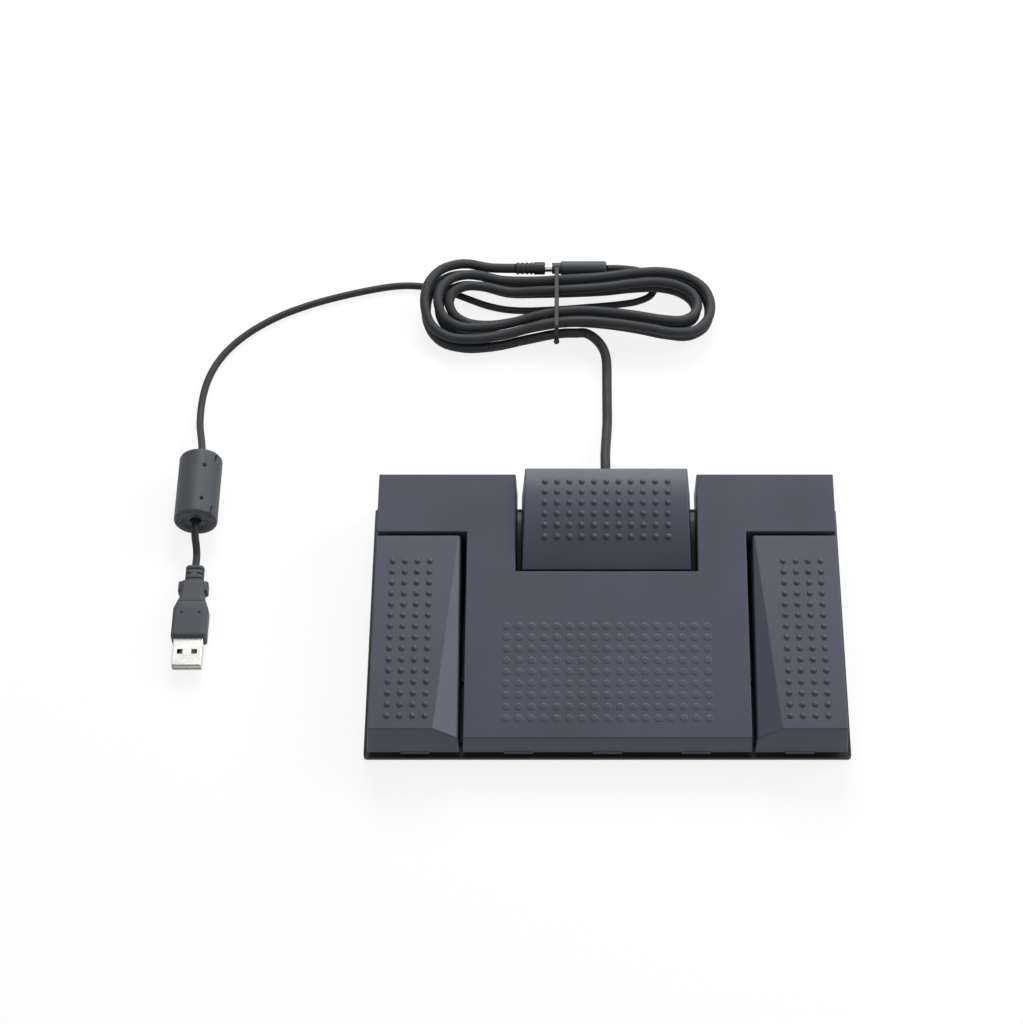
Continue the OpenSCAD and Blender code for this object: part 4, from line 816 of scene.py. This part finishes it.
def top_pedal(edge_r):
    """Shapes of the top pedal: studs on the crown, two ears in front, a seat and a presser."""
    y_pin, y_switch, y_spring = Y_TOP_FRONT + 7.2, Y_BACK - 13, Y_BACK - 14
    ears = -24 + EAR_T + EAR_PLAY, 24 - 2 * EAR_T - EAR_PLAY
    return [
        top_pedal_shell(edge_r),
        studs(*crown_studs(), cap_profile(STUD_D, STUD_H)),
        *(ear(x, y_pin, crown_roof(y_pin) + 1) for x in ears),
        *seat(19, y_spring, crown_roof(y_spring - 5) - 1, crown_roof(y_spring - 6)),
        presser("top_plunger", -19, y_switch, crown_roof(y_switch)),
    ]


# Finishes

NOISE_LOW, NOISE_HIGH = 0.3, 0.7
ROUGH_SPREAD = 0.05


def put(tree, socket, value):
    """Links an input to an output, or sets it to a number or colour."""
    if isinstance(value, bpy.types.NodeSocket):
        tree.links.new(value, socket)
    else:
        socket.default_value = value


def wired(tree, node, **inputs):
    """Puts values to a node's inputs by name, with _ for a space."""
    for name, value in inputs.items():
        put(tree, node.inputs[name.replace("_", " ")], value)
    return node


def added(tree, kind, **inputs):
    """A new shader node, wired."""
    return wired(tree, tree.nodes.new("ShaderNode" + kind), **inputs)


def combined(tree, operation, first, second):
    """The result of a Math node on two values."""
    node = added(tree, "Math")
    node.operation = operation
    put(tree, node.inputs[0], first)
    put(tree, node.inputs[1], second)
    return node.outputs[0]


def new_finish(name):
    """An empty node material: the tree, its Principled shader, and Object coordinates."""
    material = bpy.data.materials.new(name)
    material.use_nodes = True
    tree = material.node_tree
    return material, tree, tree.nodes["Principled BSDF"], added(tree, "TexCoord").outputs["Object"]


def noise(tree, place, scale, detail):
    """A noise at a place, scaled per metre."""
    return added(tree, "TexNoise", Vector=place, Scale=scale, Detail=detail).outputs["Fac"]


def ramp(tree, value, dark, light):
    """A colour that goes from dark to light with a noise."""
    node = added(tree, "ValToRGB", Fac=value)
    first, last = node.color_ramp.elements
    first.position, last.position = NOISE_LOW, NOISE_HIGH
    first.color, last.color = (*dark, 1), (*light, 1)
    return node.outputs["Color"]


def spread(tree, value, low, high):
    """A number that goes from low to high with a noise."""
    span = {"From_Min": NOISE_LOW, "From_Max": NOISE_HIGH, "To_Min": low, "To_Max": high}
    return added(tree, "MapRange", Value=value, **span).outputs["Result"]


def finish(name, colour, rough, grain, fleck, metal=0.0, cloud=60, specular=0.5):
    """A moulded, rubber or metal finish: a wide noise shifts the colour by +-fleck and the roughness, and
    a fine noise of grain[0] per metre raises a grain of grain[1] mm."""
    material, tree, shader, place = new_finish(name)
    wide, fine = noise(tree, place, cloud, 3), noise(tree, place, grain[0], 2)
    c = np.array(colour)
    bump = added(tree, "Bump", Strength=0.5, Distance=grain[1] * MM, Height=fine)
    wired(
        tree, shader, Metallic=metal, Specular_IOR_Level=specular, Normal=bump.outputs["Normal"],
        Base_Color=ramp(tree, wide, c * (1 - fleck), c * (1 + fleck)),
        Roughness=spread(tree, wide, rough - ROUGH_SPREAD, rough + ROUGH_SPREAD),
    )
    return material


def seen_rays(tree):
    """1 on rays from the camera, off metal and through glass, and 0 on the rays that light the object."""
    path = added(tree, "LightPath").outputs
    glossy = combined(tree, "MAXIMUM", path["Is Camera Ray"], path["Is Glossy Ray"])
    return combined(tree, "MAXIMUM", glossy, path["Is Transmission Ray"])


def paint(objects, material):
    """One material on objects, in place of what they have."""
    for obj in objects:
        obj.data.materials.clear()
        obj.data.materials.append(material)


def placed(name, data):
    """A new object in the scene."""
    obj = bpy.data.objects.new(name, data)
    bpy.context.scene.collection.objects.link(obj)
    return obj


def piece(name, shapes, body, material, nodes):
    """Joins shapes into one mesh object that rides on a body, stands for CAD nodes and takes a finish.

    Coincident points are merged, faces are turned outwards, and flat faces keep flat shading beside rounds.
    """
    starts = np.cumsum([0] + [len(points) for points, _ in shapes])
    faces = []
    for start, (_, arrays) in zip(starts, shapes):
        faces += [row for array in arrays for row in (array + start).tolist()]
    mesh = bpy.data.meshes.new(name)
    mesh.from_pydata((np.vstack([points for points, _ in shapes]) * MM).tolist(), [], faces)
    work = bmesh.new()
    work.from_mesh(mesh)
    bmesh.ops.remove_doubles(work, verts=work.verts, dist=2e-6)
    bmesh.ops.recalc_face_normals(work, faces=work.faces)
    work.to_mesh(mesh)
    work.free()
    mesh.validate()
    mesh.shade_smooth()
    obj = placed(name, mesh)
    obj.modifiers.new("flat faces stay flat", "WEIGHTED_NORMAL").weight = 80
    paint([obj], material)
    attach(obj, body)
    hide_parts(*nodes)
    return obj


def node_box(node):
    """Low and high corners of a CAD node, in millimetres."""
    return (np.array(corner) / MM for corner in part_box(node))


# Settings

COLOUR = {"subtype": "COLOR", "min": 0, "max": 1}
FACTOR = {"subtype": "FACTOR", "min": 0, "max": 1}
POWER = {"unit": "POWER", "min": 0}


class FootPedalSettings(bpy.types.PropertyGroup):
    """Sizes and colours of the pedals."""

    edge_r: FloatProperty(
        name="Edge round", description="Round of the pedals' upper edges",
        default=0.45 * MM, min=0.2 * MM, max=1.6 * MM, unit="LENGTH",
    )
    corner_r: FloatProperty(
        name="Corner round", description="Round of the pedals' upright corners",
        default=0.55 * MM, min=0.4 * MM, max=2.0 * MM, unit="LENGTH",
    )
    colour: FloatVectorProperty(
        name="Pedal colour", description="Blue-grey of the moulded pedals",
        default=linear(66, 69, 82), **COLOUR,
    )
    rough: FloatProperty(
        name="Pedal roughness", description="Roughness of the moulded pedals",
        default=0.4, **FACTOR,
    )


class FootCordSettings(bpy.types.PropertyGroup):
    """Colours and fineness of the cords and what is on them."""

    colour: FloatVectorProperty(
        name="Cord colour", description="Near-black of the cords' sleeves",
        default=linear(38, 40, 43), **COLOUR,
    )
    moulding: FloatVectorProperty(
        name="Moulding colour", description="Grey of the ferrite's case and the plug",
        default=linear(61, 64, 69), **COLOUR,
    )
    steps: IntProperty(
        name="Steps", description="Rings of a cord between two points of its route", default=4, min=2, max=8,
    )
    sides: IntProperty(name="Sides", description="Points round a cord", default=16, min=8, max=24)


class FootStageSettings(bpy.types.PropertyGroup):
    """Light and floor."""

    key: FloatProperty(
        name="Key light", description="Power of the large soft lamp behind on the right, in watts",
        default=13.5, **POWER,
    )
    back: FloatProperty(
        name="Back light",
        description="Power of the soft lamp behind and above, which gives the tops their sheen",
        default=15.5, **POWER,
    )
    fill: FloatProperty(
        name="Fill light", description="Power of the soft lamp in front on the left, in watts",
        default=1.5, **POWER,
    )
    ambient: FloatProperty(
        name="Ambient", description="Strength of the white surroundings", default=0.32, **FACTOR,
    )
    floor: FloatVectorProperty(
        name="Floor colour", description="Colour of the pale floor", default=(0.9, 0.9, 0.9), **COLOUR,
    )


# Operators


class FOOT_OT_camera(bpy.types.Operator):
    """Camera at the photograph's viewing angle"""

    bl_idname = "foot_control.camera"
    bl_label = "Camera"

    def execute(self, context):
        camera = bpy.data.cameras.new("camera")
        camera.sensor_width, camera.lens = 36.0, 96.0
        camera.shift_x = -0.0627
        camera.clip_start, camera.clip_end = 0.05, 20
        obj = placed("camera", camera)
        obj.location = (-0.012484, -0.580706, 0.949220)
        obj.rotation_euler = (np.radians(34.0), 0, 0)
        context.scene.camera = obj
        return {"FINISHED"}


class FOOT_OT_cords(bpy.types.Operator):
    """Main lead with its hank, and the thin lead that runs through the ferrite to the plug"""

    bl_idname = "foot_control.cords"
    bl_label = "Cords"

    def execute(self, context):
        s = context.scene.foot_cords
        look = {"grain": (2600, 0.015), "fleck": 0.12, "cloud": 90, "specular": 0.25}
        sleeve = finish("cord sleeve", s.colour, 0.6, **look)
        for name, points, d, nodes in (
            ("main_cord", MAIN_POINTS, CORD_D, ("main_lead", "cord_hank")),
            ("thin_cord", THIN_POINTS, THIN_D, ("usb_lead", "usb_tail")),
        ):
            route = laid_route(points, d, s.steps)
            piece(name, [tube(route, d / 2, s.sides)], "base", sleeve, nodes)
        return {"FINISHED"}


class FOOT_OT_pedals(bpy.types.Operator):
    """The four pedals: rounded shells with their studs, tabs, hinge ears and posts"""

    bl_idname = "foot_control.pedals"
    bl_label = "Pedals"

    def execute(self, context):
        s = context.scene.foot_pedals
        corner_r, edge_r = s.corner_r / MM, s.edge_r / MM
        look = {"grain": (5200, 0.03), "fleck": 0.05, "cloud": 35, "specular": 0.22}
        shell = finish("moulded shell", s.colour, s.rough, **look)
        right = side_pedal(corner_r, edge_r)
        for body, shapes in (
            ("right_pedal", right),
            ("left_pedal", [mirrored(shape) for shape in right]),
            ("centre_pedal", centre_pedal(corner_r, edge_r)),
            ("top_pedal", top_pedal(edge_r)),
        ):
            piece(body + "_shell", shapes, body, shell, [body])
        return {"FINISHED"}


class FOOT_OT_springs(bpy.types.Operator):
    """Return springs: a coil in the box of each spring that the joints list as deforming"""

    bl_idname = "foot_control.springs"
    bl_label = "Return springs"

    def execute(self, context):
        colour = linear(158, 160, 164)
        steel = finish("spring steel", colour, 0.32, grain=(3000, 0.004), fleck=0.06, metal=1.0)
        for joint in frame["joints"]:
            for entry in joint.get("deforming_nodes", []):
                node = entry["node"]
                low, high = node_box(node)
                coil = piece(node + "_coil", [spring(low, high)], "base", steel, [node])
                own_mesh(coil)
        return {"FINISHED"}


class FOOT_OT_connector(bpy.types.Operator):
    """Inline plug and socket, the boot, and the tie round the hank"""

    bl_idname = "foot_control.connector"
    bl_label = "Boot, inline connector and tie"

    def execute(self, context):
        s = context.scene.foot_cords
        dark = finish("dark moulding", s.colour, 0.55, grain=(3200, 0.02), fleck=0.1, specular=0.25)
        grey = finish("grey moulding", s.moulding, 0.52, grain=(3600, 0.02), fleck=0.07, specular=0.25)
        low, high = node_box("hank_tie")
        for name, shapes, material, node in (
            ("inline_plug_moulding", [inline_plug()], dark, "inline_plug"),
            ("inline_socket_moulding", [inline_socket()], grey, "inline_socket"),
            ("strain_relief_boot", [boot()], dark, "strain_relief"),
            ("hank_band", [band(low, high), bead(low, high)], dark, "hank_tie"),
        ):
            piece(name, shapes, "base", material, [node])
        return {"FINISHED"}


class FOOT_OT_plug(bpy.types.Operator):
    """The ferrite's case in two halves, and the moulded body of the plug"""

    bl_idname = "foot_control.plug"
    bl_label = "Ferrite and plug"

    def execute(self, context):
        grey = bpy.data.materials["grey moulding"]
        # Close steps where the dimples and slits are
        upper = np.r_[np.linspace(1, 29, 8), np.arange(30, 80, 1.2), np.linspace(81, 179, 26)]
        lower = np.linspace(1, 179, 46)
        for name, shapes, node in (
            ("ferrite_upper_half", [case_half(upper, 0.2, 1, True)], "ferrite_case_upper"),
            ("ferrite_lower_half", [case_half(lower, 1.6, -1, False)], "ferrite_case_lower"),
            ("usb_plug_moulding", plug_moulding(-6.0, PLUG_BACK - 2.2), "usb_plug_body"),
        ):
            piece(name, shapes, "base", grey, [node])
        return {"FINISHED"}


class FOOT_OT_cad_finishes(bpy.types.Operator):
    """Finishes of the CAD parts that keep their own shape"""

    bl_idname = "foot_control.cad_finishes"
    bl_label = "Finishes of CAD parts"

    def execute(self, context):
        pins = "left_hinge_pin right_hinge_pin centre_hinge_pin_left centre_hinge_pin_right top_hinge_pin"
        switches = "left_switch right_switch centre_switch top_switch controller_chip"
        plungers = "left_plunger right_plunger centre_plunger top_plunger"
        for name, colour, rough, metal, nodes in (
            ("tray paint", (52, 53, 55), 0.45, 0.0, "base_tray"),
            ("foot rubber", (24, 24, 25), 0.8, 0.0, "rubber_feet bump_stops"),
            # The chassis's near-black is partly its plastic and partly painted shade: it darkens the gaps
            # beside the pedals, where the chassis would otherwise show lit grey.
            ("chassis plastic and painted gap shade", (22, 23, 26), 0.55, 0.0, "chassis cord_clamp"),
            ("bright steel", (190, 191, 194), 0.3, 1.0, "chassis_screws board_screws clamp_screws"),
            ("drawn steel", (176, 178, 182), 0.28, 1.0, pins),
            ("switch case", (28, 29, 31), 0.45, 0.0, switches),
            ("switch plunger", (176, 44, 36), 0.45, 0.0, plungers),
            ("board laminate", (28, 84, 52), 0.4, 0.0, "main_board"),
            ("pale nylon", (226, 222, 208), 0.5, 0.0, "cord_header usb_tongue"),
            ("wire sleeve", (20, 20, 22), 0.45, 0.0, "wire_harness inner_cord"),
            ("ferrite ceramic", (44, 44, 46), 0.7, 0.0, "ferrite_core"),
            ("bright nickel", (196, 196, 193), 0.26, 1.0, "usb_shell inline_plug_pin"),
            ("contact brass", (206, 172, 88), 0.25, 1.0, "usb_contacts"),
        ):
            height, specular = (0.004, 0.5) if metal else (0.015, 0.2)
            look = {"grain": (3000, height), "fleck": 0.06, "metal": metal, "specular": specular}
            material = finish(name, linear(*colour), rough, **look)
            paint([frame["nodes"][node] for node in nodes.split()], material)
        return {"FINISHED"}


class FOOT_OT_declare_cords(bpy.types.Operator):
    """Works out the routes of the main lead and the thin lead in metres, and leaves them unused"""

    bl_idname = "foot_control.declare_cords"
    bl_label = "Declare cords"

    def execute(self, context):
        steps = context.scene.foot_cords.steps
        main = laid_route(MAIN_POINTS, CORD_D, steps) * MM
        thin = laid_route(THIN_POINTS, THIN_D, steps) * MM
        return {"FINISHED"}


class FOOT_OT_stage(bpy.types.Operator):
    """Pale floor, white surroundings and soft lamps"""

    bl_idname = "foot_control.stage"
    bl_label = "Stage"

    def execute(self, context):
        s = context.scene.foot_stage
        half, glow_share = 6, 0.85
        mesh = bpy.data.meshes.new("floor")
        corners = [(-half, -half, 0), (half, -half, 0), (half, half, 0), (-half, half, 0)]
        mesh.from_pydata(corners, [], [(0, 1, 2, 3)])
        floor = placed("floor", mesh)
        material, tree, shader, place = new_finish("pale floor")
        shade = ramp(tree, noise(tree, place, 3, 2), np.array(s.floor) * 0.99, s.floor)
        wired(tree, shader, Base_Color=shade, Roughness=0.9)
        glow = added(tree, "Emission", Strength=1.0)
        mix = added(tree, "MixShader", Fac=combined(tree, "MULTIPLY", seen_rays(tree), glow_share))
        put(tree, mix.inputs[1], shader.outputs[0])
        put(tree, mix.inputs[2], glow.outputs[0])
        wired(tree, tree.nodes["Material Output"], Surface=mix.outputs[0])
        paint([floor], material)

        world = bpy.data.worlds.new("white surroundings")
        context.scene.world = world
        world.use_nodes = True
        tree = world.node_tree
        strength = added(tree, "MapRange", Value=seen_rays(tree), To_Min=s.ambient)
        wired(tree, tree.nodes["Background"], Color=(1, 1, 1, 1), Strength=strength.outputs["Result"])

        for name, place, aim, size, power in (
            ("key lamp", (1.12, 0.62, 0.88), (0, 0, 0), 0.8, s.key),
            ("back lamp", (0, 1.05, 0.85), (0, 0, 0), 0.6, s.back),
            ("fill lamp", (-0.5, -1.1, 1.0), (0, 0.05, 0), 1.2, s.fill),
        ):
            lamp = bpy.data.lights.new(name, "AREA")
            lamp.size, lamp.energy = size, power
            obj = placed(name, lamp)
            obj.location = place
            obj.rotation_euler = (Vector(place) - Vector(aim)).to_track_quat("Z", "Y").to_euler()
        context.scene.view_settings.view_transform = "Standard"
        return {"FINISHED"}


OPERATORS = (
    FOOT_OT_camera, FOOT_OT_cords, FOOT_OT_pedals, FOOT_OT_springs, FOOT_OT_connector, FOOT_OT_plug,
    FOOT_OT_cad_finishes, FOOT_OT_declare_cords, FOOT_OT_stage,
)


class FOOT_PT_panel(bpy.types.Panel):
    """Lists the steps in order"""

    bl_idname = "FOOT_PT_panel"
    bl_label = "Foot Control"
    bl_space_type = "VIEW_3D"
    bl_region_type = "UI"
    bl_category = "Foot Control"

    def draw(self, context):
        for operator in OPERATORS:
            self.layout.operator(operator.bl_idname)


SETTINGS = {"foot_pedals": FootPedalSettings, "foot_cords": FootCordSettings, "foot_stage": FootStageSettings}
CLASSES = (*SETTINGS.values(), *OPERATORS, FOOT_PT_panel)


def register():
    for cls in CLASSES:
        bpy.utils.register_class(cls)
    for name, group in SETTINGS.items():
        setattr(bpy.types.Scene, name, PointerProperty(type=group))


def unregister():
    for name in SETTINGS:
        delattr(bpy.types.Scene, name)
    for cls in reversed(CLASSES):
        bpy.utils.unregister_class(cls)


def main():
    register()
    bpy.ops.foot_control.camera()
    bpy.ops.foot_control.cords()
    bpy.ops.foot_control.pedals()
    bpy.ops.foot_control.springs()
    bpy.ops.foot_control.connector()
    bpy.ops.foot_control.plug()
    bpy.ops.foot_control.cad_finishes()
    bpy.ops.foot_control.declare_cords()
    bpy.ops.foot_control.stage()
    bpy.context.view_layer.update()


if __name__ == "__main__":
    main()
